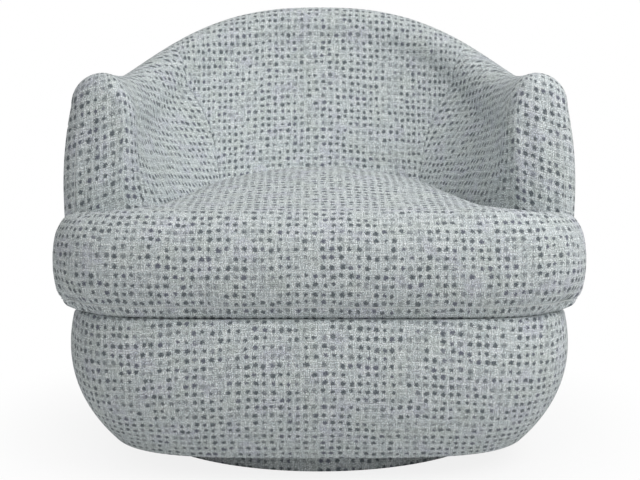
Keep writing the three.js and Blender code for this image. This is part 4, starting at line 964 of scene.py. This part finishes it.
def cushion_rings(tub, bowl, cushion):
    """Rings that follow the outline round its edge, as a superellipse above and another below,
    and then shrink over the top towards a point on the middle line, which is returned too. All
    of it is smaller by the slack that filling takes up."""
    outline, _, _, inward = cushion_outline(tub, bowl, cushion, RING_POINTS)
    eye = np.array([0, (tub.widest_y - cushion.front + tub.front) / 2])
    ear_y = tub.front - cushion.clearance
    back_share = clamp((outline[:, 1] - eye[1]) / (ear_y - cushion.inner_round / 2 - eye[1]))
    inset = mix(cushion.front_round, cushion.inner_round, back_share)[:, None]
    start = outline + inward * cushion.slack
    turn = np.linspace(0, np.pi / 2, 16)
    in_front = (1 - clamp((np.abs(outline[:, 0]) - FRONT_END) / FRONT_RUN)) * (1 - back_share)
    lower_power = mix(cushion.lower_power, cushion.front_lower_power, in_front)
    lower_power = mix(lower_power, cushion.rear_lower_power, back_share)
    lower_inset = mix(inset[:, 0], cushion.front_lower_round, in_front)[:, None]

    def top(plan):
        return cushion_top(tub, cushion, plan[:, 0], plan[:, 1]) - cushion.slack

    rings = []
    for angle in turn[::-1]:
        plan = start + inward * lower_inset * (1 - np.cos(angle) ** (2 / lower_power))[:, None]
        height = mix(cushion.fullest, cushion.bottom, np.sin(angle) ** (2 / lower_power))
        rings.append(np.column_stack([plan, height]))
    for angle in turn[1:]:
        plan = start + inward * inset * (1 - np.cos(angle) ** (2 / cushion.upper_power))
        height = mix(cushion.fullest, top(plan), np.sin(angle) ** (2 / cushion.upper_power))
        rings.append(np.column_stack([plan, height]))
    last = rings[-1][:, :2]
    for share in np.linspace(1, 0, 40)[1:-1]:
        plan = mix(eye, last, share)
        rings.append(np.column_stack([plan, top(plan)]))
    return np.array(rings), eye


def make_cushion(tub, bowl, cushion, material, thread):
    """The loose cushion: its rings closed at both poles, remeshed, filled with air by the cloth
    solver, held to the most it may swell, and mapped onto the cloth. A seam runs round its
    front under the fullest line."""
    rings, eye = cushion_rings(tub, bowl, cushion)
    rows, count = rings.shape[:2]
    top = cushion_top(tub, cushion, *eye) - cushion.slack
    points = np.concatenate([rings.reshape(-1, 3), [[*eye, cushion.bottom], [*eye, top]]])
    ids = np.arange(rows * count).reshape(rows, count)
    quads = quad_faces(ids, True)
    caps = [
        triangle for ring, pole in ((ids[0], rows * count), (ids[-1], rows * count + 1))
        for triangle in np.stack([ring, np.roll(ring, -1), np.full(count, pole)], 1).tolist()
    ]
    no_map = np.zeros((len(points), 2))
    caps = outward_caps(quads, caps)
    piece = make_mesh("seat_cushion_cover", points, quads, caps, no_map, material)
    remesh = piece.modifiers.new("even", "REMESH")
    remesh.mode = "VOXEL"
    remesh.voxel_size = cushion.voxel * 1
    apply_modifiers(piece)
    fill_cushion(piece, tub, cushion)
    refine = piece.modifiers.new("refine", "SUBSURF")
    refine.levels = refine.render_levels = 1
    apply_modifiers(piece)
    mesh = piece.data
    for layer in list(mesh.uv_layers):
        mesh.uv_layers.remove(layer)
    spots = points_of(mesh)
    fit_cushion(tub, cushion, spots)
    seam = press_seam(tub, bowl, cushion, spots)
    mesh.vertices.foreach_set("co", spots.ravel())
    mesh.update()
    make_thread("seat_cushion_thread", seam, tub.thread, thread)
    set_cushion_map(mesh, tub, bowl, cushion, spots)
    mesh.polygons.foreach_set("use_smooth", np.ones(len(mesh.polygons), bool))
    mesh.materials.clear()
    mesh.materials.append(material)
    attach(piece, "chair")
    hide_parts("seat_cushion")


def apply_modifiers(piece):
    """Replaces a piece's mesh by what its modifiers make of it."""
    graph = bpy.context.evaluated_depsgraph_get()
    made = bpy.data.meshes.new_from_object(piece.evaluated_get(graph), depsgraph=graph)
    piece.modifiers.clear()
    old = piece.data
    piece.data = made
    bpy.data.meshes.remove(old)
    made.name = piece.name


def fill_cushion(piece, tub, cushion):
    """Blows the cushion up with the cloth solver for a few frames, then holds each point to the
    most that it may move, which falls to nothing where it rests on the deck, and to the slack
    where it lies by an arm."""
    start = points_of(piece.data)
    settings = piece.modifiers.new("fill", "CLOTH").settings
    settings.quality = 5
    settings.use_pressure = True
    settings.uniform_pressure_force = FILL_PRESSURE
    settings.effector_weights.gravity = 0
    settings.tension_stiffness = settings.compression_stiffness = 30
    settings.bending_stiffness = 2
    scene = bpy.context.scene
    for step in range(1, FILL_FRAMES + 1):
        scene.frame_set(step)
    filled = piece.evaluated_get(bpy.context.evaluated_depsgraph_get())
    move = points_of(filled.to_mesh()) - start
    filled.to_mesh_clear()
    piece.modifiers.clear()
    scene.frame_set(1)
    size = np.maximum(np.linalg.norm(move, axis=1), TINY)
    most = cushion.swell * clamp((start[:, 2] - cushion.bottom) / HOLD_RUN)
    behind = clamp((start[:, 1] - (tub.front - 0.02)) / HOLD_RUN)
    behind *= clamp((0.45 - start[:, 2]) / HOLD_RUN)
    most = mix(most, np.minimum(most, cushion.slack), behind)
    move *= (np.tanh(size / np.maximum(most, SAME_PLACE)) * most / size)[:, None]
    piece.data.vertices.foreach_set("co", (start + move).ravel())
    piece.data.update()


def fit_cushion(tub, cushion, spots):
    """Lets the filled cushion's ears and front out to the size they were cut to: each place moves
    out by a smooth share of what is missing at the widest or foremost point. Then its lower edge
    lifts off the bowl, by smooth shares of the way out to a superellipse like its front's and of
    the way down."""
    low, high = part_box("seat_cushion")
    x, y, z = spots.T
    ear = smooth((tub.front + 0.01 - y) / 0.04) * smooth((np.abs(x) - EAR_START) / EAR_RUN)
    ear *= 0.3 + 0.7 * smooth((z - cushion.bottom) / 0.04)
    x += np.sign(x) * ear * (high.x + 0.002 - np.abs(x).max())
    y += smooth((AHEAD - y) / (AHEAD - y.min())) * (low.y - y.min())
    wide, deep = np.abs(x) / cushion.half, np.abs(y - tub.widest_y) / cushion.front
    out = (wide**cushion.front_power + deep**cushion.front_power) ** (1 / cushion.front_power)
    edge = smooth((out - EDGE_START) / EDGE_RUN) * smooth((tub.front - y) / 0.02)
    z += cushion.edge_lift * edge * (1 - smooth((z - cushion.bottom) / LIFT_HEIGHT))


def nearest_on(outline, spots):
    """Number of the outline's nearest point for each spot, in plan."""
    nearest = np.empty(len(spots), np.int64)
    for block in range(0, len(spots), 4000):
        part = spots[block:block + 4000, None, :2] - outline[None]
        nearest[block:block + 4000] = np.einsum("ijk,ijk->ij", part, part).argmin(1)
    return nearest


def press_seam(tub, bowl, cushion, spots):
    """Presses the seam into the cushion's front, as a bell curve of the height from it, and
    returns the line that its thread follows: the mean depth of the surface along the outline,
    evened out over a short length."""
    outline, _, _, inward = cushion_outline(tub, bowl, cushion, OUTLINE_POINTS)
    off = spots[:, 2] - cushion.seam_height
    near = np.flatnonzero((np.abs(off) < SEAM_REACH) & (spots[:, 1] < tub.front - 0.01))
    nearest = nearest_on(outline, spots[near])
    press = PRESS * np.exp(-((off[near] / PRESS_HEIGHT) ** 2))
    spots[near, :2] += press[:, None] * inward[nearest]
    on_line = np.abs(off[near]) < LINE_REACH
    depth = ((spots[near, :2] - outline[nearest]) * inward[nearest]).sum(1)

    def evened(weights):
        found = np.bincount(nearest[on_line], weights=weights, minlength=OUTLINE_POINTS)
        spread = np.convolve(np.tile(found, 3), np.ones(SEAM_WINDOW), "same")
        return spread[OUTLINE_POINTS:2 * OUTLINE_POINTS]

    spread = evened(depth[on_line]) / np.maximum(evened(None), 1)
    order = (np.arange(OUTLINE_POINTS) + OUTLINE_POINTS // 2 + 1) % OUTLINE_POINTS
    order = order[outline[order, 1] < tub.front - 0.02]
    line = outline[order] + inward[order] * (spread[order] - THREAD_RISE)[:, None]
    return np.column_stack([line, np.full(len(line), cushion.seam_height)])


def set_cushion_map(mesh, tub, bowl, cushion, spots):
    """Maps the cushion. On its wall across is the length round the outline and up the length
    over the rounded edge; on its top across is x and up goes on from the front edge towards
    the rear. A face takes the wall's map or the top's by how far in its middle lies."""
    outline, whole, along, inward = cushion_outline(tub, bowl, cushion, OUTLINE_POINTS)
    nearest = nearest_on(outline, spots)
    travelled = nearest * whole / len(outline)
    travelled = np.where(travelled > whole / 2, travelled - whole, travelled)
    gap = spots[:, :2] - outline[nearest]
    depth = np.maximum((gap * inward[nearest]).sum(1), 0)
    slide = (gap * along[nearest]).sum(1)
    turn = np.linspace(0, np.pi / 2, 60)
    edge_height = cushion.edge - cushion.fullest
    rise = np.sin(turn) ** (2 / cushion.upper_power) * edge_height
    run = (1 - np.cos(turn) ** (2 / cushion.upper_power)) * cushion.front_round
    arc = path_lengths(np.stack([rise, run], -1))
    height = spots[:, 2] - cushion.fullest
    out = np.maximum(1 - depth / cushion.front_round, 0)
    angle = np.arctan2(np.maximum(height, 0) / edge_height, out)
    arc_angle = np.arctan2(rise / edge_height, 1 - run / cushion.front_round)
    over = np.interp(angle, arc_angle, arc) + np.maximum(depth - cushion.front_round, 0)
    up_wall = np.where(height < 0, height, over)
    corners = whole_values(mesh.loops, "vertex_index")
    starts = whole_values(mesh.polygons, "loop_start")
    totals = whole_values(mesh.polygons, "loop_total")
    middle_depth = np.add.reduceat(depth[corners], starts) / totals
    middle_y = np.add.reduceat(spots[corners, 1], starts) / totals
    front_limit = tub.widest_y - cushion.front + cushion.front_round
    on_wall = (middle_y <= front_limit) | (middle_depth < cushion.inner_round)
    on_wall = np.repeat(on_wall, totals)
    up_top = arc[-1] + (spots[:, 1] - front_limit)
    u = np.where(on_wall, (travelled + slide)[corners], spots[corners, 0])
    v = np.where(on_wall, up_wall[corners], up_top[corners])
    set_cloth_map(mesh, np.stack([u, v + CUSHION_START], -1))


# Finishes

METALLIC, METAL_RELIEF = 1, 0.0001  # of the steel finishes
GRAIN = 0.12  # how much longer the wood's noise is along its grain, as a scale


def new_material(name):
    """An empty node material with its output and a shader joined to it."""
    material = bpy.data.materials.new(name)
    material.use_nodes = True
    tree = material.node_tree
    tree.nodes.clear()
    output = tree.nodes.new("ShaderNodeOutputMaterial")
    shader = tree.nodes.new("ShaderNodeBsdfPrincipled")
    tree.links.new(shader.outputs[0], output.inputs[0])
    return material, tree, shader


def put(tree, socket, value):
    """Joins another node's output to an input, or sets the input to a plain value."""
    if isinstance(value, bpy.types.NodeSocket):
        tree.links.new(value, socket)
    elif hasattr(value, "__len__") and len(socket.default_value) == 4:
        socket.default_value = (*value[:3], 1)
    else:
        socket.default_value = value


def node(tree, kind, inputs, output=0, **settings):
    """A node with its settings and its inputs, by name or number. Returns one of its outputs."""
    made = tree.nodes.new(kind)
    for key, value in settings.items():
        setattr(made, key, value)
    for key, value in inputs.items():
        put(tree, made.inputs[key], value)
    return made.outputs[output]


def sum_of(tree, operation, value, *others):
    """Arithmetic on numbers: one step for each further number, or one on the value alone."""
    for other in others or (0.0,):
        value = node(tree, "ShaderNodeMath", {0: value, 1: other}, operation=operation)
    return value


def vector_sum(tree, operation, first, second=(0, 0, 0)):
    """One step of arithmetic on vectors."""
    made = tree.nodes.new("ShaderNodeVectorMath")
    made.operation = operation
    put(tree, made.inputs[0], first)
    if operation not in ("FLOOR", "FRACTION", "LENGTH", "SCALE"):
        put(tree, made.inputs[1], second)
    if operation == "SCALE":
        put(tree, made.inputs["Scale"], second)
    return made.outputs["Value" if operation == "LENGTH" else "Vector"]


def ramp(tree, value, low, high, to_low=0.0, to_high=1.0):
    """A smooth step of a number, from one pair of values to another."""
    return node(
        tree, "ShaderNodeMapRange",
        {"Value": value, "From Min": low, "From Max": high, "To Min": to_low, "To Max": to_high},
        interpolation_type="SMOOTHSTEP",
    )


def blend_colours(tree, share, low, high, kind="MIX"):
    """Two colours blended by a share."""
    made = tree.nodes.new("ShaderNodeMix")
    made.data_type = "RGBA"
    made.blend_type = kind
    put(tree, made.inputs[0], share)
    put(tree, made.inputs[6], low)
    put(tree, made.inputs[7], high)
    return made.outputs[2]


def noise(tree, place_at, scale, detail=1.0, output=0):
    """Cloudy noise whose grains are one over the scale in size."""
    inputs = {"Vector": place_at, "Scale": scale, "Detail": detail, "Roughness": 0.55}
    return node(tree, "ShaderNodeTexNoise", inputs, output=output, noise_dimensions="2D")


def stretched(tree, place_at, across, up):
    """Coordinates scaled by different amounts along and across the cloth."""
    return vector_sum(tree, "MULTIPLY", place_at, (across, up, 1))


def strayed(tree, source, amount):
    """A random or cloudy colour as a shift, by up to half the amount either way."""
    centred = vector_sum(tree, "SUBTRACT", source, (0.5, 0.5, 0.5))
    return vector_sum(tree, "SCALE", centred, amount)


def white_noise(tree, cell):
    """Three random numbers for each cell, as a colour."""
    return node(
        tree, "ShaderNodeTexWhiteNoise", {"Vector": cell}, output=1, noise_dimensions="2D"
    )


def parts_of(tree, vector):
    """The three parts of a vector or a colour."""
    return node(tree, "ShaderNodeSeparateXYZ", {0: vector}).node.outputs


def raise_surface(tree, shader, strength, distance, height):
    """Bump from a height, given to the shader."""
    inputs = {"Strength": strength, "Distance": distance, "Height": height}
    put(tree, shader.inputs["Normal"], node(tree, "ShaderNodeBump", inputs))


def make_cloth(look):
    """The woven cover. Each cell of a grid holds one blot, moved, sized and coloured by chance;
    its edge is ragged. Patches break the blots into specks. The ground is heathered, with
    pale threads along rows and columns, and the weave stands up as bump."""
    material, tree, shader = new_material("woven cover")
    spot = node(tree, "ShaderNodeUVMap", {}, uv_map="cloth")
    cloud = partial(noise, tree, spot)
    step, blend = partial(ramp, tree), partial(blend_colours, tree)
    plus, times, most = (partial(sum_of, tree, kind) for kind in ("ADD", "MULTIPLY", "MAXIMUM"))
    one_less = partial(sum_of, tree, "SUBTRACT", 1.0)
    moved = vector_sum(tree, "ADD", spot, strayed(tree, cloud(9, 1, 1), look.wander))
    cells = vector_sum(tree, "DIVIDE", moved, (look.pitch_across, look.pitch_up, 1))
    cell = vector_sum(tree, "FLOOR", cells)
    inside = vector_sum(tree, "SUBTRACT", vector_sum(tree, "FRACTION", cells), (0.5, 0.5, 0))
    chance = white_noise(tree, cell)
    first = parts_of(tree, chance)
    second = parts_of(tree, white_noise(tree, vector_sum(tree, "ADD", cell, (37.2, 11.7, 0))))
    offset = vector_sum(tree, "ADD", inside, strayed(tree, chance, look.shift))
    offset = vector_sum(tree, "ADD", offset, strayed(tree, cloud(430, 1.5, 1), look.ragged))
    half = look.dot / 2
    in_dots = (look.pitch_across / half, look.pitch_up / half, 0)
    away = vector_sum(tree, "LENGTH", vector_sum(tree, "MULTIPLY", offset, in_dots))
    away = sum_of(tree, "DIVIDE", away, step(first[2], 0, 1, 0.8, 1.14))
    strength = step(second[0], 0.0, 0.3, 0.6, 1.0)
    present = step(second[1], 0.04, 0.08)
    blot = times(step(away, 1.2, 0.7), strength, present)
    worn = step(cloud(17, 2), 0.55, 0.66)
    grain = cloud(620, 2)
    broken = times(one_less(step(grain, 0.46, 0.56)), 0.8)
    blot = times(blot, one_less(times(worn, broken)))
    specks = times(step(cloud(300, 2), 0.6, 0.7), step(worn, 0, 1, 0.12, 0.55))
    blot = most(blot, specks)
    warp = noise(tree, stretched(tree, spot, 520, 40), 1, 2)
    weft = noise(tree, stretched(tree, spot, 36, 560), 1, 2)
    parts = parts_of(tree, inside)
    grid = most(*(step(sum_of(tree, "ABSOLUTE", parts[k]), 0.34, 0.47) for k in (0, 1)))
    grid = times(grid, step(cloud(90, 3), 0.42, 0.6), 0.75)
    pale = most(step(warp, 0.54, 0.68), step(weft, 0.54, 0.68), grid)
    deep = most(step(warp, 0.42, 0.28), step(weft, 0.42, 0.28))
    tint = cloud(21, 1)
    ground = blend(step(tint, 0.52, 0.72, 0, 0.75), look.ground, look.cream)
    ground = blend(step(tint, 0.46, 0.28, 0, 0.8), ground, look.lavender)
    ground = blend(times(pale, 0.9), ground, look.thread)
    ground = blend(times(deep, 0.6), ground, darker_than(look.ground, 0.6))
    heather = step(cloud(560, 2), 0.33, 0.67, 0.62, 1.38)
    ground = blend(1.0, ground, heather, "MULTIPLY")
    mark = blend(step(second[2], 0.72, 0.9), look.slate, look.violet)
    mark = blend(step(grain, 0.35, 0.75, 0, 0.35), mark, look.ground)
    put(tree, shader.inputs["Base Color"], blend(times(blot, 0.94), ground, mark))
    shader.inputs["Roughness"].default_value = 0.93
    shader.inputs["Specular IOR Level"].default_value = 0.2
    shader.inputs["Sheen Weight"].default_value = 0.12
    shader.inputs["Sheen Roughness"].default_value = 0.6
    relief = plus(warp, weft, times(blot, 0.35), times(grain, 0.6))
    raise_surface(tree, shader, 0.55, 0.0012, relief)
    return material


def plain_finish(
    name, tint, darker, scale, roughness, metallic=0.0, relief=0.0004, stretch=(1, 1, 1)
):
    """A finish of two near tones on stretched noise, which also gives its roughness and bump."""
    material, tree, shader = new_material(name)
    spot = node(tree, "ShaderNodeTexCoord", {}, output=3)
    spread = vector_sum(tree, "MULTIPLY", spot, stretch)
    cloud = node(tree, "ShaderNodeTexNoise", {"Vector": spread, "Scale": scale, "Detail": 4.0})
    fine = node(tree, "ShaderNodeTexNoise", {"Vector": spread, "Scale": scale * 7, "Detail": 2.0})
    fine = sum_of(tree, "MULTIPLY", fine, 0.3)
    share = sum_of(tree, "ADD", sum_of(tree, "MULTIPLY", cloud, 0.7), fine)
    tone = blend_colours(tree, ramp(tree, share, 0.35, 0.65), tint, darker)
    put(tree, shader.inputs["Base Color"], tone)
    rough = ramp(tree, share, 0.3, 0.7, roughness - 0.08, min(roughness + 0.08, 1))
    put(tree, shader.inputs["Roughness"], rough)
    shader.inputs["Metallic"].default_value = metallic
    raise_surface(tree, shader, 0.5, relief, share)
    return material


def woven_finish(name, tint, darker, pitch, roughness):
    """A plain weave of two sets of strands: each is the sine of the place over its pitch."""
    material, tree, shader = new_material(name)
    spot = node(tree, "ShaderNodeTexCoord", {}, output=3)
    x, y, z = parts_of(tree, spot)
    across, along = (
        sum_of(tree, "SINE", sum_of(tree, "MULTIPLY", way, 2 * math.pi / pitch))
        for way in (x, sum_of(tree, "ADD", y, z))
    )
    weave = sum_of(tree, "MULTIPLY", across, along, 0.35)
    loose = node(tree, "ShaderNodeTexNoise", {"Vector": spot, "Scale": 60.0, "Detail": 3.0})
    share = sum_of(tree, "ADD", weave, loose)
    tone = blend_colours(tree, ramp(tree, share, 0.25, 0.85), darker, tint)
    put(tree, shader.inputs["Base Color"], tone)
    shader.inputs["Roughness"].default_value = roughness
    raise_surface(tree, shader, 0.6, pitch / 6, share)
    return material


def darker_than(tint, share):
    """A colour scaled down."""
    return tuple(part * share for part in tint)


def steel_material(looks):
    """The plated steel, made once."""
    name = "plated steel"
    darker = darker_than(looks.steel, 0.8)
    return bpy.data.materials.get(name) or plain_finish(
        name, looks.steel, darker, 90, 0.38, METALLIC, METAL_RELIEF
    )


def finish_frame(looks):
    """Gives every node of the frame and the mechanism its finish."""
    wood = {
        key: plain_finish(
            f"hardwood {key}", looks.wood, looks.wood_grain, 26, 0.72, stretch=stretch
        )
        for key, stretch in (
            ("across", (GRAIN, 1, 1)), ("along", (1, GRAIN, 1)), ("upright", (1, 1, GRAIN)),
        )
    }
    dark_steel = darker_than(looks.dark_steel, 0.6)
    jute, cambric = darker_than(looks.jute, 0.55), darker_than(looks.cambric, 0.5)
    nylon, rubber = darker_than(looks.nylon, 0.7), darker_than(looks.rubber, 0.7)
    oiled = plain_finish(
        "oiled steel", looks.dark_steel, dark_steel, 120, 0.4, METALLIC, METAL_RELIEF
    )
    by_word = (
        (("plinth_ring", "plinth_board", "rail_front", "cross_rail", "back_top"), wood["across"]),
        (("seat_rail", "arm_top"), wood["along"]),
        (("post", "corner_block"), wood["upright"]),
        (("race", "rocker_cradle", "rocker_plate", "spring"), steel_material(looks)),
        (("ball_ring", "bolt"), oiled),
        (("webbing", "deck"), woven_finish("jute", looks.jute, jute, 0.004, 0.95)),
        (("dust_cover",), woven_finish("cambric", looks.cambric, cambric, 0.002, 0.95)),
        (("glide",), plain_finish("nylon", looks.nylon, nylon, 200, 0.5)),
        (("bumper",), plain_finish("rubber", looks.rubber, rubber, 300, 0.82)),
    )
    for name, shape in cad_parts.items():
        for words, finish in by_word:
            if any(word in name for word in words):
                shape.data.materials.clear()
                shape.data.materials.append(finish)
                break


# The stage

FLOOR_RADIUS, FLOOR_SIDES = 9, 96
LAMPS = (  # name, size, place, and the height on the swivel axis that it faces
    ("key", 1.6, (1.6, -1.6, 2.3), 0.4),
    ("fill", 1.8, (-2.1, -1.7, 1.2), 0.4),
    ("top", 2.2, (0.3, -0.3, 2.6), 0.4),
    ("rear", 2.0, (-0.7, 2.4, 1.7), 0.4),
    ("low", 1.2, (0.3, -2.6, 0.3), 0.15),
)


def seen_by_camera(tree, *others):
    """One where the camera, straight or through glass, or another kind of ray looks, else 0."""
    path = tree.nodes.new("ShaderNodeLightPath").outputs
    kinds = ("Camera", *others, "Transmission")
    return sum_of(tree, "MAXIMUM", *(path[f"Is {kind} Ray"] for kind in kinds))


def make_floor(look):
    """A pale round floor. The camera sees it blended into white, all white far from the chair,
    so that only a soft shadow is left."""
    turn = np.linspace(0, 2 * np.pi, FLOOR_SIDES + 1)[:-1]
    ring = FLOOR_RADIUS * np.stack([np.cos(turn), np.sin(turn), np.zeros(FLOOR_SIDES)], -1)
    mesh = bpy.data.meshes.new("floor")
    mesh.from_pydata(ring.tolist(), [], [list(range(FLOOR_SIDES))])
    floor = bpy.data.objects.new("floor", mesh)
    bpy.context.scene.collection.objects.link(floor)
    material, tree, shader = new_material("floor")
    shader.inputs["Base Color"].default_value = (*look.floor, 1)
    shader.inputs["Roughness"].default_value = 0.9
    white = node(tree, "ShaderNodeEmission", {"Color": (1, 1, 1), "Strength": 1.0})
    spot = node(tree, "ShaderNodeTexCoord", {}, output=3)
    away = ramp(tree, vector_sum(tree, "LENGTH", spot), 0.25, 0.75, 0.84, 1.0)
    share = sum_of(tree, "MULTIPLY", seen_by_camera(tree, "Glossy"), away)
    both = node(tree, "ShaderNodeMixShader", {0: share, 1: shader.outputs[0], 2: white})
    output = next(made for made in tree.nodes if made.type == "OUTPUT_MATERIAL")
    tree.links.new(both, output.inputs[0])
    mesh.materials.append(material)


def make_world(look):
    """Even light from all round, which the camera sees as white."""
    world = bpy.data.worlds.new("studio")
    bpy.context.scene.world = world
    world.use_nodes = True
    tree = world.node_tree
    tree.nodes.clear()
    output = tree.nodes.new("ShaderNodeOutputWorld")
    light, white = (
        node(tree, "ShaderNodeBackground", {"Color": (1, 1, 1), "Strength": strength})
        for strength in (look.sky, 1.0)
    )
    both = node(tree, "ShaderNodeMixShader", {0: seen_by_camera(tree), 1: light, 2: white})
    tree.links.new(both, output.inputs[0])


def make_lamp(name, power, size, place_at, aim):
    """A square lamp that faces a height on the swivel axis."""
    lamp = bpy.data.lights.new(name, "AREA")
    lamp.energy = power
    lamp.size = size
    lamp_object = bpy.data.objects.new(name, lamp)
    bpy.context.scene.collection.objects.link(lamp_object)
    lamp_object.location = place_at
    towards = Vector((0, 0, aim)) - Vector(place_at)
    lamp_object.rotation_euler = towards.to_track_quat("-Z", "Y").to_euler()


def make_camera(look):
    """The camera of the photograph: straight in front, looking a little down."""
    camera = bpy.data.cameras.new("camera")
    camera.sensor_fit = "HORIZONTAL"
    camera.sensor_width = 36
    camera.lens = look.lens
    camera.shift_x = look.shift
    camera_object = bpy.data.objects.new("camera", camera)
    bpy.context.scene.collection.objects.link(camera_object)
    camera_object.location = (0, -look.distance, look.eye)
    camera_object.rotation_euler = (math.pi / 2 - look.pitch, 0, 0)
    bpy.context.scene.camera = camera_object


# Operators

def cloth_material():
    """The woven cover, made once."""
    return bpy.data.materials.get("woven cover") or make_cloth(bpy.context.scene.chair_cloth)


def thread_material():
    """The sewing thread, made once."""
    tint = tuple(bpy.context.scene.chair_cloth.thread)
    return bpy.data.materials.get("thread") or plain_finish(
        "thread", tint, darker_than(tint, 0.7), 900, 0.8
    )


class ChairStage(bpy.types.Operator):
    """Make the camera, the floor and the light"""

    bl_idname = "chair.stage"
    bl_label = "Stage"

    def execute(self, context):
        look = context.scene.chair_stage
        context.scene.view_settings.view_transform = "Standard"
        make_camera(look)
        make_floor(look)
        make_world(look)
        for name, size, place_at, aim in LAMPS:
            make_lamp(f"{name} lamp", getattr(look, name), size, place_at, aim)
        return {"FINISHED"}


class ChairFrame(bpy.types.Operator):
    """Finish the wooden frame, the swivel, the rocker and the springs"""

    bl_idname = "chair.frame"
    bl_label = "Frame and mechanism"

    def execute(self, context):
        finish_frame(context.scene.chair_finishes)
        return {"FINISHED"}


class ChairSprings(bpy.types.Operator):
    """Make the rocker's coil springs"""

    bl_idname = "chair.springs"
    bl_label = "Rocker springs"

    def execute(self, context):
        looks = context.scene.chair_finishes
        make_springs(looks, steel_material(looks))
        return {"FINISHED"}


class ChairInsideBack(bpy.types.Operator):
    """Make the padded inside of the back"""

    bl_idname = "chair.inside_back"
    bl_label = "Inside back"

    def execute(self, context):
        scene = context.scene
        make_inside_back(scene.chair_tub, scene.chair_bowl, cloth_material())
        return {"FINISHED"}


class ChairArms(bpy.types.Operator):
    """Make the padded inside and the closed front of each arm"""

    bl_idname = "chair.arms"
    bl_label = "Arms"

    def execute(self, context):
        sizes = context.scene.chair_tub, context.scene.chair_bowl
        for name, side in SIDES:
            make_inside_arm(*sizes, name, side, cloth_material())
            make_arm_front(*sizes, name, side, cloth_material(), thread_material())
        return {"FINISHED"}


class ChairOutside(bpy.types.Operator):
    """Make the panels outside the arms and the back"""

    bl_idname = "chair.outside"
    bl_label = "Outside panels"

    def execute(self, context):
        scene = context.scene
        make_outside(scene.chair_tub, scene.chair_bowl, cloth_material())
        return {"FINISHED"}


class ChairBowl(bpy.types.Operator):
    """Make the cloth of the bowl and of the plinth"""

    bl_idname = "chair.bowl"
    bl_label = "Bowl and plinth"

    def execute(self, context):
        scene = context.scene
        make_bowl(scene.chair_tub, scene.chair_bowl, cloth_material())
        make_plinth_cover(cloth_material())
        return {"FINISHED"}


class ChairCushion(bpy.types.Operator):
    """Make and fill the loose seat cushion"""

    bl_idname = "chair.cushion"
    bl_label = "Seat cushion"

    def execute(self, context):
        scene = context.scene
        sizes = scene.chair_tub, scene.chair_bowl, scene.chair_cushion
        make_cushion(*sizes, cloth_material(), thread_material())
        return {"FINISHED"}


OPERATORS = (
    ChairStage, ChairFrame, ChairSprings, ChairInsideBack,
    ChairArms, ChairOutside, ChairBowl, ChairCushion,
)


class ChairPanel(bpy.types.Panel):
    """Lists the steps that make the chair"""

    bl_idname = "VIEW3D_PT_chair"
    bl_label = "Swivel Rocker"
    bl_space_type = "VIEW_3D"
    bl_region_type = "UI"
    bl_category = "Chair"

    def draw(self, context):
        for operator in OPERATORS:
            self.layout.operator(operator.bl_idname)


GROUPS = {
    "chair_tub": TubSizes,
    "chair_bowl": BowlSizes,
    "chair_cushion": CushionSizes,
    "chair_cloth": ClothLook,
    "chair_finishes": FrameFinishes,
    "chair_stage": StageLook,
}


def register():
    """Registers the classes and puts the settings on the scene."""
    for group in (*GROUPS.values(), *OPERATORS, ChairPanel):
        bpy.utils.register_class(group)
    for key, group in GROUPS.items():
        setattr(bpy.types.Scene, key, PointerProperty(type=group))


def unregister():
    """Takes the settings and the classes away again."""
    for key in GROUPS:
        delattr(bpy.types.Scene, key)
    for group in (ChairPanel, *OPERATORS[::-1], *list(GROUPS.values())[::-1]):
        bpy.utils.unregister_class(group)


def main():
    """Builds the chair."""
    register()
    bpy.ops.chair.stage()
    bpy.ops.chair.frame()
    bpy.ops.chair.springs()
    bpy.ops.chair.inside_back()
    bpy.ops.chair.arms()
    bpy.ops.chair.outside()
    bpy.ops.chair.bowl()
    bpy.ops.chair.cushion()


if __name__ == "__main__":
    main()
